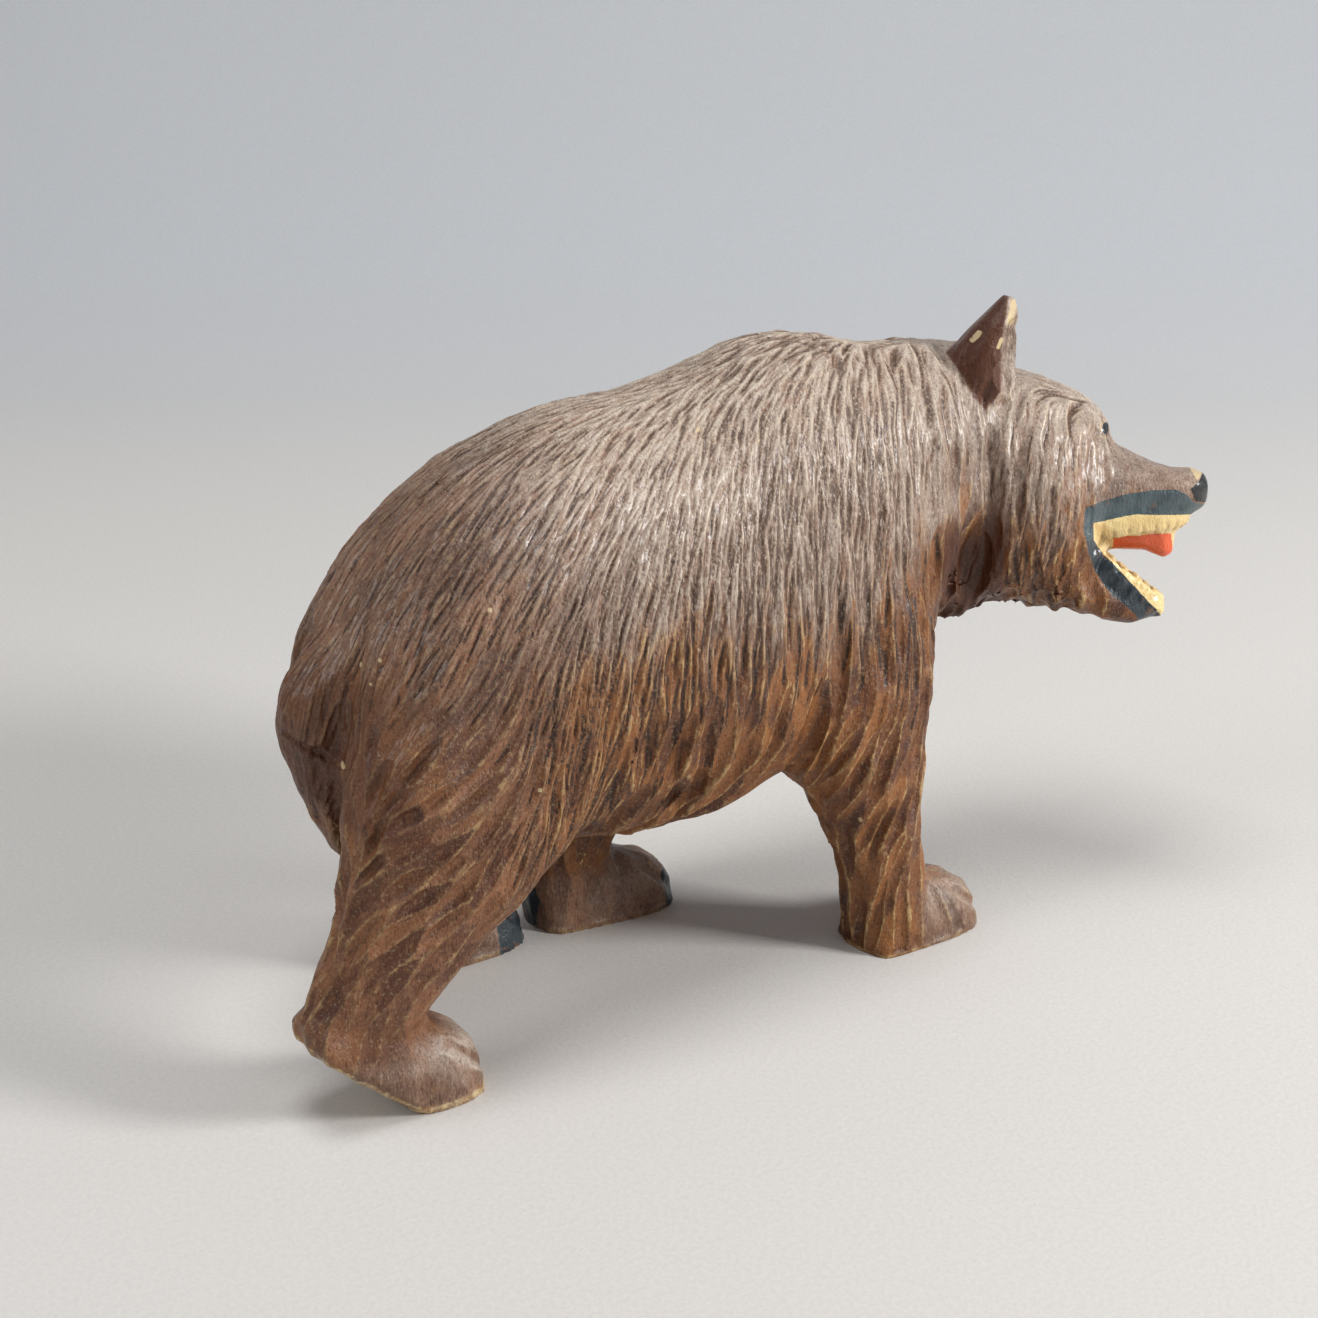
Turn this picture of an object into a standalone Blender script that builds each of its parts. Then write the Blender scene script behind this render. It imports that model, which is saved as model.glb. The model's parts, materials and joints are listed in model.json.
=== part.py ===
"""A carved wooden bear that walks on four feet, with its head turned to its right and its mouth open.

The bear faces +X, its right side is on -Y, and its soles rest on the plane z = 0.
"""

import math
import random

import bmesh
import bpy
import numpy as np
from mathutils import Euler, Matrix, Vector
from mathutils.kdtree import KDTree

# Driving size, in metres
LENGTH = 0.225  # from the nose to the raised right heel

# The forms are drawn on a grid with this many units along the bear
GRID = 225
UNIT = LENGTH / GRID

# Fineness of the carved form, in grid units, and the triangles it keeps
GRAIN = 1.0
MASS_ROUNDS = 40  # of easing over the joints between trunk, neck and legs
FILLET_ROUNDS = 8  # over those of the head, paws and tail
DETAIL_ROUNDS = 1  # over those of the ears, teeth and tongue
EASE = 0.5  # how far one round moves a point towards its neighbours
MOST_TRIANGLES = 9600

FOOT_BELOW = 3  # how far the feet run on under the floor, before their soles are cut flat
BALL_RINGS = 12

# The head: the middle of the skull, its turn to the right and its lean to the left, in degrees
HEAD_AT = (84.0, -8.0, 99.4)
HEAD_TURN = -42
HEAD_LEAN = -13

# Cross-sections of the trunk: x, height of the widest line, half width, rise above it, drop below
TRUNK = (
    (-91.0, 74, 5, 7, 7),
    (-88.0, 76, 15, 14, 17),
    (-81.0, 78, 24, 22, 30),
    (-70.0, 79, 29, 34, 36),
    (-54.0, 80, 31.5, 44, 39),
    (-34.0, 78, 32, 52.5, 41.5),
    (-12.0, 76, 32, 56, 41.5),
    (4.0, 77, 31, 58, 40.5),
    (18.0, 80, 29.5, 59, 35.5),
    (34.0, 84, 27.5, 53, 33),
    (50.0, 90, 23.5, 41.5, 30),
    (60.0, 94, 16, 27, 22),
    (64.0, 96, 6, 10, 10),
)

# Sections of the neck: x, y, z, turn, dip and lean in degrees, half width, rise and drop
NECK = (
    (40.0, 0.0, 94.0, 0, 0, 0, 24, 39, 33),
    (54.0, -0.5, 96.0, -8, 2, -3, 23, 36.5, 31),
    (66.0, -3.0, 97.5, -24, 3, -8, 22, 33, 31.5),
    (77.0, -3.5, 98.5, -38, 2, -12, 21.5, 29.5, 34),
    (86.0, -10.0, 98.5, -42, 0, -13, 16, 22, 27),
)

# Sections of the skull and cheeks, in the head's own axes: x, z, half width, rise and drop
SKULL = (
    (-16.0, 0.0, 14, 20, 24),
    (-11.0, -1.0, 20, 26.5, 30.5),
    (-3.0, -3.0, 21.5, 27, 29),
    (5.0, -5.0, 21, 27.2, 26.5),
    (12.0, -8.0, 18.5, 27.6, 24.5),
    (17.0, -9.0, 14.5, 26, 23.5),
    (20.5, -9.0, 10.5, 22.5, 21),
    (22.5, -8.0, 6.5, 18, 14),
)

# Sections of the upper muzzle, in the head's axes
MUZZLE = (
    (12.0, -2.0, 15, 14, 11),
    (18.0, -3.5, 12.5, 12.8, 9.6),
    (24.0, -4.2, 10.2, 11.0, 7.7),
    (30.0, -4.3, 8.8, 8.2, 6.3),
    (36.0, -3.7, 7.4, 5.7, 5.5),
    (41.0, -2.8, 6.0, 4.9, 5.7),
    (44.0, -2.4, 3.6, 3.1, 4.8),
    (45.0, -2.2, 1.2, 1.2, 3.0),
)

# Sections of the lower jaw, in the head's axes
JAW = (
    (10.0, -24.0, 15, 6, 8.0),
    (16.0, -25.5, 12.5, 8.5, 7.2),
    (20.0, -27.3, 10.5, 7.5, 6.0),
    (25.0, -29.0, 8.6, 5.2, 5.0),
    (29.5, -30.4, 6.8, 3.4, 3.8),
    (32.5, -31.0, 4.4, 2.6, 2.4),
    (34.0, -31.0, 2.0, 1.6, 1.2),
)

# The palate and tongue, one red form under the upper jaw, in the head's axes
TONGUE = (
    (12.0, -13.5, 5.5, 3.0, 4.5),
    (19.0, -13.0, 5.8, 3.0, 4.8),
    (26.0, -12.6, 5.6, 3.0, 4.6),
    (32.0, -12.4, 5.0, 3.2, 5.0),
    (36.0, -12.2, 3.6, 3.2, 6.8),
    (38.0, -12.2, 1.6, 2.0, 5.4),
)

# Rows of teeth: middle x and z, reach forwards, half width, slope in degrees, height and thickness
UPPER_TEETH = (18.0, -12.6, 22.0, 8.6, -11, 3.4, 1.3)
LOWER_TEETH = (15.5, -15.6, 20.0, 7.8, 35, 3.4, 1.5)
TEETH_IN_ROW = 9
TOOTH_STEPS = 4
TOOTH_BITE = 0.5  # how far the row dips between two teeth

# Ears: sections up from the base, in the head's axes: x, y, z, half width, forward and back reach
EAR = (
    (-8.0, 12.5, 13.0, 5.0, 5.0, 5.0),
    (-8.0, 14.0, 19.0, 8.0, 8.6, 7.6),
    (-7.2, 15.4, 25.0, 8.4, 8.4, 8.4),
    (-5.2, 16.6, 31.0, 6.6, 6.2, 6.0),
    (-2.8, 17.4, 37.0, 3.2, 2.6, 2.8),
    (-2.2, 17.6, 39.4, 1.0, 1.0, 1.0),
)
# The hollow in the front of an ear: its middle, its half sizes and its outward turn in degrees
EAR_HOLLOW = ((0.0, 18.5, 26.0), (4.8, 5.6, 9.0), 25)

# Legs: level z, middle x, middle y, half width across, reach forwards and back
RIGHT_FORELEG = (
    (100, 32.0, -12.0, 11, 18, 18),
    (84, 32.0, -15.5, 13, 22, 22),
    (68, 31.5, -18.5, 13, 22, 23.5),
    (54, 30.5, -20.5, 12.5, 19.5, 22.8),
    (42, 33.0, -22.0, 11.5, 14, 17.6),
    (30, 35.5, -23.0, 10, 11, 13.6),
    (18, 38.0, -23.6, 9.2, 9.4, 10.8),
    (8, 38.5, -24.2, 9.6, 9.5, 9.8),
    (-3, 38.5, -24.6, 9.8, 9.5, 9.2),
)
LEFT_FORELEG = (
    (100, 26.0, 12.0, 11, 16, 18),
    (84, 22.0, 15.5, 13, 19, 20),
    (68, 15.0, 18.5, 13, 18, 19),
    (54, 7.5, 21.0, 12, 15.5, 17),
    (42, -0.5, 22.5, 11, 12.5, 14),
    (30, -8.5, 24.0, 9.8, 10.5, 11.5),
    (18, -15.0, 25.0, 9, 9.5, 10),
    (8, -17.5, 25.5, 9.2, 10, 9.5),
    (-3, -17.5, 25.5, 9.4, 10, 8.5),
)
RIGHT_HIND_LEG = (
    (98, -56.0, -11.0, 12, 18, 19),
    (82, -60.0, -14.5, 15, 25, 25),
    (66, -64.0, -17.0, 15.5, 28, 28),
    (52, -67.0, -19.0, 14.5, 27, 27),
    (42, -72.0, -20.5, 13.2, 22.5, 25),
    (34, -80.0, -21.0, 11.8, 17, 20),
    (26, -87.0, -21.5, 10.6, 13, 18),
    (18, -91.0, -21.5, 9.4, 10.5, 14),
)
LEFT_HIND_LEG = (
    (98, -56.0, 11.0, 12, 18, 20),
    (82, -57.0, 14.5, 15, 25, 27),
    (66, -58.0, 17.0, 15.5, 26, 28.5),
    (52, -57.5, 20.0, 14.5, 24, 27.5),
    (42, -56.5, 22.0, 13, 19.5, 24),
    (32, -55.5, 24.0, 11.2, 14.5, 17.5),
    (22, -55.0, 25.5, 9.8, 11, 12),
    (10, -55.0, 26.0, 9.2, 10, 10.0),
    (-3, -55.0, 26.0, 9.4, 10, 9.5),
)

# A flat paw from its heel forwards: x, half width, height
PAW = (
    (0.0, 7.6, 8.0),
    (1.5, 9.0, 10.5),
    (8.0, 9.5, 13.5),
    (16.0, 9.9, 14.6),
    (22.0, 10.0, 14.0),
    (28.0, 9.2, 12.0),
    (32.0, 7.2, 8.8),
    (33.5, 3.6, 5.0),
)
# Heel x, middle y, inward turn and share of the full length of the three flat paws
PAWS = ((31.0, -24.8, 0, 0.91), (-24.0, 26.0, -6, 1.0), (-63.5, 26.0, 0, 1.0))

# The right hind paw, which stands on its toes: x, height of its middle, half width, rise and drop
RAISED_PAW = (
    (-106.5, 19.5, 6.0, 3.5, 2.0),
    (-104.5, 18.0, 8.4, 6.0, 2.4),
    (-98.0, 12.5, 9.6, 12, 2.6),
    (-91.0, 6.5, 10.2, 16.5, 2.6),
    (-84.0, 0.8, 10.6, 18.5, 2.6),
    (-76.0, -2.5, 10.6, 18.0, 1.5),
    (-71.0, -2.5, 9.0, 14.0, 1.5),
    (-68.5, -2.5, 5.0, 8.0, 1.5),
)
RAISED_PAW_Y = -22.0

# The tail: sections down from its root: z, x, half width, reach forwards and back
TAIL = (
    (99, -74.0, 5, 8, 5),
    (91, -82.0, 7.0, 8, 7.0),
    (84, -87.5, 7.6, 8, 8.0),
    (76, -90.0, 7.6, 8, 7.8),
    (67, -88.5, 7.0, 8, 7.4),
    (57, -86.0, 6.2, 8, 6.6),
    (48, -83.5, 4.8, 8, 5.2),
    (43, -82.5, 2.6, 5, 3.4),
)

# The coat of the body: a place on the right or left side, the way that the hair runs there,
# and the width, length and depth of a gouge cut. Both sides of the body have each of them.
BODY_COAT = (
    ((24, 3, 138), (-1.0, 0.5, -0.1), 5.0, 14, 0.7),
    ((-20, 6, 130), (-1.0, 0.5, -0.2), 5.0, 14, 0.7),
    ((-60, 8, 118), (-0.9, 0.4, -0.6), 5.0, 15, 0.7),
    ((-84, 12, 92), (-0.5, 0.2, -0.9), 5.0, 15, 0.7),
    ((50, 8, 128), (-0.8, 0.7, -0.5), 5.0, 16, 0.8),
    ((-20, 26, 108), (-0.6, 0.1, -1.0), 5.0, 16, 0.7),
    ((-16, 31, 76), (-0.25, 0.0, -1.0), 5.5, 20, 0.9),
    ((-16, 26, 48), (-0.15, -0.3, -1.0), 6.5, 22, 1.3),
    ((28, 26, 112), (-0.3, 0.2, -1.0), 5.0, 16, 0.7),
    ((28, 30, 74), (-0.35, 0.0, -1.0), 5.5, 18, 0.9),
    ((34, 32, 42), (-0.55, 0.0, -0.9), 5.5, 13, 0.9),
    ((2, 31, 42), (-0.8, 0.0, -0.9), 5.5, 13, 0.9),
    ((-64, 30, 84), (-0.5, 0.0, -0.9), 5.5, 18, 0.8),
    ((-70, 33, 58), (-0.75, 0.0, -0.65), 6.5, 24, 1.1),
    ((-84, 32, 34), (-0.8, 0.0, -0.6), 6.0, 16, 0.8),
    ((62, 22, 105), (-0.05, 0.0, -1.0), 5.5, 20, 1.1),
    ((58, 8, 70), (-0.2, -0.5, -0.9), 6.0, 14, 1.2),
    ((-15, 4, 36), (-1.0, 0.0, 0.0), 6.0, 14, 0.5),
    ((-84, 8, 56), (-0.2, 0.0, -1.0), 6.0, 14, 0.7),
    ((-60, 26, 12), (0.0, 0.0, -1.0), 5.0, 8, 0.0),
    ((-78, 22, 12), (0.0, 0.0, -1.0), 5.0, 8, 0.0),
    ((-20, 26, 12), (0.0, 0.0, -1.0), 5.0, 8, 0.0),
    ((42, 24, 12), (0.0, 0.0, -1.0), 5.0, 8, 0.0),
)
# The coat of the head, in the head's axes
HEAD_COAT = (
    ((8, 5, 21), (-1.0, 0.1, 0.3), 4.0, 9, 0.4),
    ((-6, 19, 8), (-0.1, 0.0, -1.0), 5.0, 18, 1.1),
    ((4, 20, -8), (-0.1, 0.0, -1.0), 4.6, 16, 1.0),
    ((-4, 14, -28), (-0.2, -0.2, -1.0), 5.0, 12, 1.4),
    ((8, 10, -30), (-0.6, 0.0, -0.6), 4.6, 9, 0.9),
    ((18, 11, 0), (-0.5, 0.0, -0.9), 4.0, 8, 0.3),
    ((26, 9, -4), (-1.0, 0.0, 0.0), 4.0, 8, 0.0),
    ((38, 6, -4), (-1.0, 0.0, 0.0), 4.0, 8, 0.0),
    ((24, 9, -26), (-1.0, 0.0, 0.0), 4.0, 8, 0.0),
    ((30, 5, -16), (-1.0, 0.0, 0.0), 4.0, 8, 0.0),
    ((-4, 17, 32), (0.0, 0.0, -1.0), 4.0, 8, 0.0),
)

# Deep cuts behind the cheeks, under the throat and beside the tail, the same on both sides:
# from, to, width and depth. Those of the head are in its own axes.
HEAD_CUTS = (
    ((-4.6, 21, 14), (-3.2, 22, -9), 3.8, 1.6),
    ((-12.5, 21, -9), (-13.0, 16, -30), 6.5, 3.4),
    ((-5.8, 22, -9), (-6.2, 15, -32), 8.0, 4.4),
    ((6.0, 19, -16), (4.6, 12, -32), 4.4, 1.6),
    ((12.0, 17, -18), (9.6, 10, -32), 4.0, 1.2),
    ((2.0, 13, -26), (1.6, 3, -34), 4.0, 1.8),
    ((8.5, 12, -26), (8.0, 3, -33), 4.0, 1.6),
    ((14.5, 10, -26), (14.0, 3, -33), 3.6, 1.0),
)
TAIL_CUTS = (
    ((-80, 10.0, 94), (-90, 9.5, 68), 6.5, 2.8),
    ((-91, 8.6, 66), (-84, 7.4, 46), 6.0, 2.2),
)
EYE = ((20.2, 8.8, 9.6), 2.8, 1.3)  # middle of the socket in the head's axes, its radius and depth

# Furrows between the toes, measured from the front end of a paw on its middle line
TOE_FURROWS = (-5.2, 0.0, 5.2)
TOE_FROM = (12.0, 12.5)  # how far back a furrow starts, and how high
TOE_TO = (-1.0, 1.0)
TOE_WIDTH = 2.4
TOE_DEPTH = 1.1
PAW_LENGTH = PAW[-1][0]

# How the cuts of the coat are laid out
BLEND = 9.0  # how far, in grid units, one place of the coat reaches into the next
CUT_STEP = 1.2  # between two places where a cut is measured
SPACING_ALONG = 0.62  # room around a cut, as a share of its length
SPACING_ACROSS = 0.72  # and of its width
SHALLOWEST = 0.15  # a coat less deep than this stays smooth
SCOOP = 0.6  # how soon a cut reaches its depth: lower is sooner
COAT_SEED = 7

WOOD_COLOUR = (0.12, 0.065, 0.04, 1)
WOOD_ROUGHNESS = 0.5


def place(x, y, z, turn=0.0, dip=0.0, lean=0.0):
    """A frame in grid units, turned about Z, dipped about Y and leaned about X, in degrees."""
    angles = [math.radians(a) for a in (lean, dip, turn)]
    return Matrix.Translation((x, y, z)) @ Euler(angles).to_matrix().to_4x4()


BODY = Matrix.Identity(4)
HEAD = place(*HEAD_AT, turn=HEAD_TURN, lean=HEAD_LEAN)


def filled_in(rows, steps):
    """The rows with others between them, on a smooth curve through them all."""
    rows = np.array(rows, float)
    ends = np.vstack([2 * rows[0] - rows[1], rows, 2 * rows[-1] - rows[-2]])
    curve = []
    for a, b, c, d in zip(ends, ends[1:], ends[2:], ends[3:]):
        for t in np.arange(steps) / steps:
            bend = (2 * a - 5 * b + 4 * c - d) * t**2 + (3 * b - a - 3 * c + d) * t**3
            curve.append(b + 0.5 * ((c - a) * t + bend))
    return curve + [rows[-1]]


def loft(bm, rows, frame=BODY, sides=28, steps=4, square=2.2):
    """A closed skin over cross-sections, each of them an oval in the YZ plane of its own frame."""
    rings = []
    for x, y, z, turn, dip, lean, half, rise, drop in filled_in(rows, steps):
        section = frame @ place(x, y, z, turn, dip, lean)
        ring = []
        for k in range(sides):
            angle = 2 * math.pi * k / sides
            across, up = (math.copysign(abs(c) ** (2 / square), c) for c in (math.cos(angle), math.sin(angle)))
            height = rise if up > 0 else drop
            ring.append(bm.verts.new(section @ Vector((0, half * across, height * up)) * UNIT))
        rings.append(ring)
    for near, far in zip(rings, rings[1:]):
        for k in range(sides):
            bm.faces.new((near[k], near[k - 1], far[k - 1], far[k]))
    bm.faces.new(rings[0])
    bm.faces.new(reversed(rings[-1]))


def upright(rows, y=0.0):
    """Full rows from sections that stand across the X axis."""
    return [(x, y, z, 0, 0, 0, half, rise, drop) for x, z, half, rise, drop in rows]


def level(rows):
    """Full rows from sections that lie flat, where the reach forwards is the rise."""
    return [(x, y, z, 0, 90, 0, half, fore, back) for z, x, y, half, fore, back in rows]


def paw_rows(share):
    return [(x * share, 0, -FOOT_BELOW, 0, 0, 0, half, height + FOOT_BELOW, 1) for x, half, height in PAW]


def tooth_rows(x, z, reach, half, slope, height, thick):
    """A horseshoe of teeth, from the right corner of the mouth round the front to the left one."""
    rows = []
    count = TOOTH_STEPS * TEETH_IN_ROW
    for k in range(count + 1):
        angle = math.radians(-90 + 180 * k / count)
        forward = reach * math.cos(angle)
        turn = math.degrees(math.atan2(half * math.cos(angle), -reach * math.sin(angle)))
        bite = TOOTH_BITE * (1 + math.cos(2 * math.pi * k / TOOTH_STEPS)) / 2
        fall = forward * math.tan(math.radians(slope))
        rows.append((x + forward, half * math.sin(angle), z - fall, turn, 0, 0, thick, height - bite, height - bite))
    return rows


def ear_rows(side):
    return [(x, side * y, z, 0, 90, 0, half, fore, back) for x, y, z, half, fore, back in EAR]


def tail_rows():
    return [(x, 0, z, 0, 90, 0, half, fore, back) for z, x, half, fore, back in TAIL]


def object_of(bm, name):
    mesh = bpy.data.meshes.new(name)
    bmesh.ops.recalc_face_normals(bm, faces=bm.faces)
    bm.to_mesh(mesh)
    bm.free()
    obj = bpy.data.objects.new(name, mesh)
    bpy.context.scene.collection.objects.link(obj)
    return obj


def settle(obj):
    """The object's modifiers, made part of its mesh."""
    graph = bpy.context.evaluated_depsgraph_get()
    mesh = bpy.data.meshes.new_from_object(obj.evaluated_get(graph))
    obj.modifiers.clear()
    obj.data = mesh


def grain(obj, size, rounds):
    """One skin around all the forms, with the corners between them eased."""
    remesh = obj.modifiers.new("grain", "REMESH")
    remesh.mode = "VOXEL"
    remesh.voxel_size = size * UNIT
    ease = obj.modifiers.new("ease", "SMOOTH")
    ease.factor = EASE
    ease.iterations = rounds
    settle(obj)


def forms():
    """The rounded masses of the bear, before its details."""
    bm = bmesh.new()
    loft(bm, upright(TRUNK), sides=40)
    loft(bm, NECK, sides=32)
    for leg in (RIGHT_FORELEG, LEFT_FORELEG, RIGHT_HIND_LEG, LEFT_HIND_LEG):
        loft(bm, level(leg))
    return object_of(bm, "bear")


def head_and_paws(bear):
    """The head, paws and tail, joined to the eased masses."""
    bm = bmesh.new()
    bm.from_mesh(bear.data)
    loft(bm, upright(SKULL), HEAD, sides=32)
    loft(bm, upright(MUZZLE), HEAD)
    loft(bm, upright(JAW), HEAD)
    for heel, y, turn, share in PAWS:
        loft(bm, paw_rows(share), place(heel, y, 0, turn), square=2.6)
    loft(bm, upright(RAISED_PAW, RAISED_PAW_Y), square=2.6)
    loft(bm, tail_rows())
    bm.to_mesh(bear.data)
    bm.free()


def details(bear):
    """The ears, teeth and tongue, joined to the eased masses."""
    bm = bmesh.new()
    bm.from_mesh(bear.data)
    for side in (1, -1):
        ear = hollow_ear(side)
        bm.from_mesh(ear.data)
        bpy.data.objects.remove(ear)
    loft(bm, upright(TONGUE), HEAD)
    loft(bm, tooth_rows(*UPPER_TEETH), HEAD, sides=12, steps=1)
    loft(bm, tooth_rows(*LOWER_TEETH), HEAD, sides=12, steps=1)
    bm.to_mesh(bear.data)
    bm.free()


def ball(bm, frame, middle, halves, turn=0.0):
    """A closed ball, squashed to its half sizes and turned about the upright axis of its frame."""
    long, wide, tall = halves
    rows = []
    for k in range(1, BALL_RINGS):
        angle = math.pi * k / BALL_RINGS
        size = math.sin(angle)
        rows.append((-long * math.cos(angle), 0, 0, 0, 0, 0, wide * size, tall * size, tall * size))
    loft(bm, rows, frame @ place(*middle, turn), sides=20, steps=1, square=2)


def hollow_ear(side):
    """One ear, with the hollow in its front cut by a ball."""
    bm = bmesh.new()
    loft(bm, ear_rows(side), HEAD, square=2)
    ear = object_of(bm, f"ear_{side}")
    (x, y, z), halves, turn = EAR_HOLLOW
    bm = bmesh.new()
    ball(bm, HEAD, (x, side * y, z), halves, side * turn)
    cutter = object_of(bm, f"ear_hollow_{side}")
    cut = ear.modifiers.new("hollow", "BOOLEAN")
    cut.operation = "DIFFERENCE"
    cut.object = cutter
    settle(ear)
    bpy.data.objects.remove(cutter)
    return ear


def coat_places():
    """Every place of the coat as rows of numbers: where, the way of the hair, then width, length, depth."""
    rows = []
    for frame, coat in ((BODY, BODY_COAT), (HEAD, HEAD_COAT)):
        turn = frame.to_3x3()
        for (x, y, z), (along, out, up), width, length, depth in coat:
            for side in (1, -1):
                where = frame @ Vector((x, side * y, z))
                way = turn @ Vector((along, side * out, up)).normalized()
                rows.append((*where, *way, width, length, depth))
    return np.array(rows)


def coat_at(points, normals):
    """For each point, the way of the hair along the skin and the width, length and depth of a cut."""
    places = coat_places()
    apart = ((points[:, None] - places[None, :, :3]) ** 2).sum(2)
    nearest = apart.min(1, keepdims=True)
    share = np.exp((nearest - apart) / (2 * BLEND**2))
    share /= share.sum(1, keepdims=True)
    found = share @ places[:, 3:]
    way = found[:, :3]
    way -= normals * (way * normals).sum(1, keepdims=True)
    way /= np.maximum(np.linalg.norm(way, axis=1, keepdims=True), 1e-6)
    return way, found[:, 3], found[:, 4], found[:, 5]


def cut_starts(points, way, width, length, depth, seed):
    """Places for cuts, scattered so that rows of them cover the skin without falling in line."""
    order = list(range(len(points)))
    random.Random(seed).shuffle(order)
    chosen = []
    taken = np.empty((0, 3))
    for k in order:
        if depth[k] < SHALLOWEST:
            continue
        gap = taken - points[k]
        along = gap @ way[k]
        across = np.sqrt(np.maximum((gap**2).sum(1) - along**2, 0))
        room = (along / (SPACING_ALONG * length[k])) ** 2 + (across / (SPACING_ACROSS * width[k])) ** 2
        if (room < 1).any():
            continue
        chosen.append(k)
        taken = np.vstack([taken, points[k]])
    return chosen


def read(mesh, what):
    """A value of three numbers for each point of a mesh, as rows."""
    values = np.empty(3 * len(mesh.vertices))
    mesh.vertices.foreach_get(what, values)
    return values.reshape(-1, 3)


def scooped(depth, share):
    """The depth of a cut at this share of its length."""
    return depth * math.sin(math.pi * share) ** SCOOP


class Skin:
    """The points of a mesh in grid units, ready to be cut into."""

    def __init__(self, mesh):
        self.mesh = mesh
        self.points = read(mesh, "co") / UNIT
        self.normals = read(mesh, "normal")
        self.cut = np.zeros(len(self.points))
        self.tree = KDTree(len(self.points))
        for k, point in enumerate(self.points):
            self.tree.insert(point, k)
        self.tree.balance()

    def scoop(self, spot, along, width, depth):
        """Deepens the cut around one spot of a furrow, and returns the point of the skin under it."""
        _, near, _ = self.tree.find(spot)
        here = self.points[near]
        found = np.array([k for _, k, _ in self.tree.find_range(here, width / 2 + CUT_STEP)], int)
        gap = self.points[found] - here
        forward = gap @ along
        rise = gap @ self.normals[near]
        across = np.sqrt(np.maximum((gap**2).sum(1) - forward**2 - rise**2, 0))
        hollow = depth * (1 - (2 * across / width) ** 2)
        hollow[np.abs(forward) > CUT_STEP] = 0
        self.cut[found] = np.maximum(self.cut[found], hollow)
        return near

    def furrow(self, start, end, width, depth):
        """A straight cut, scooped out at both ends."""
        start, end = np.array(start), np.array(end)
        length = np.linalg.norm(end - start)
        along = (end - start) / length
        steps = max(3, round(length / CUT_STEP))
        for k in range(steps + 1):
            share = (k + 0.5) / (steps + 1)
            self.scoop(start + (end - start) * share, along, width, scooped(depth, share))

    def carve_coat(self, seed):
        """Gouge cuts that follow the hair, with ridges left between them."""
        way, width, length, depth = coat_at(self.points, self.normals)
        for start in cut_starts(self.points, way, width, length, depth, seed):
            steps = max(2, round(length[start] / CUT_STEP))
            spot = self.points[start] - way[start] * length[start] / 2
            along = way[start]
            for k in range(steps + 1):
                share = (k + 0.5) / (steps + 1)
                near = self.scoop(spot, along, width[start], scooped(depth[start], share))
                along = way[near]
                spot = self.points[near] + along * CUT_STEP

    def press(self):
        """Moves the points of the mesh in by their cuts."""
        self.points -= self.normals * self.cut[:, None]
        self.mesh.vertices.foreach_set("co", (self.points * UNIT).ravel())
        self.mesh.update()


def carve_details(skin):
    """The ruff behind the cheeks, the grooves beside the tail, the toes and the eye sockets."""
    for side in (1, -1):
        for frame, cuts in ((HEAD, HEAD_CUTS), (BODY, TAIL_CUTS)):
            for start, end, width, depth in cuts:
                ends = [frame @ Vector((x, side * y, z)) for x, y, z in (start, end)]
                skin.furrow(*ends, width, depth)
        (x, y, z), radius, depth = EYE
        skin.scoop(HEAD @ Vector((x, side * y, z)), np.zeros(3), 2 * radius, depth)
    fronts = [place(heel, y, 0, turn) @ place(PAW_LENGTH * share, 0, 0) for heel, y, turn, share in PAWS]
    fronts.append(place(RAISED_PAW[-1][0], RAISED_PAW_Y, 0))
    for frame in fronts:
        for across in TOE_FURROWS:
            ends = [frame @ Vector((-back, across, up)) for back, up in (TOE_FROM, TOE_TO)]
            skin.furrow(*ends, TOE_WIDTH, TOE_DEPTH)


def thin_out(obj):
    """Fewer triangles, kept where the form bends most."""
    triangles = sum(len(face.vertices) - 2 for face in obj.data.polygons)
    thin = obj.modifiers.new("thin", "DECIMATE")
    thin.ratio = MOST_TRIANGLES / triangles
    settle(obj)


def stand(obj):
    """Soles cut flat on the floor, and the bear moved so that its box is centred over the origin."""
    bm = bmesh.new()
    bm.from_mesh(obj.data)
    everything = bm.verts[:] + bm.edges[:] + bm.faces[:]
    bmesh.ops.bisect_plane(bm, geom=everything, dist=1e-6, plane_co=(0, 0, 0), plane_no=(0, 0, 1), clear_inner=True)
    rims = [edge for edge in bm.edges if edge.is_boundary]
    bmesh.ops.holes_fill(bm, edges=rims, sides=0)
    bmesh.ops.triangulate(bm, faces=bm.faces)
    spots = np.array([vertex.co for vertex in bm.verts])
    middle = (spots.min(0) + spots.max(0)) / 2
    obj.location = (-middle[0], -middle[1], 0)
    bm.to_mesh(obj.data)
    bm.free()


def wood():
    material = bpy.data.materials.new("stained_wood")
    material.use_nodes = True
    shader = material.node_tree.nodes["Principled BSDF"]
    shader.inputs["Base Color"].default_value = WOOD_COLOUR
    shader.inputs["Roughness"].default_value = WOOD_ROUGHNESS
    shader.inputs["Metallic"].default_value = 0
    return material


def main():
    for obj in list(bpy.data.objects):
        bpy.data.objects.remove(obj)
    bear = forms()
    grain(bear, GRAIN, MASS_ROUNDS)
    head_and_paws(bear)
    grain(bear, GRAIN, FILLET_ROUNDS)
    details(bear)
    grain(bear, GRAIN, DETAIL_ROUNDS)
    skin = Skin(bear.data)
    skin.carve_coat(COAT_SEED)
    carve_details(skin)
    skin.press()
    thin_out(bear)
    stand(bear)
    bear.data.materials.append(wood())
    bear.data.shade_smooth()


main()
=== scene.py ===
"""Looks of the carved wooden bear: its coat cut by cut, its painted mouth, the stain with its wear, and the stage."""

import json
import math

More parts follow.
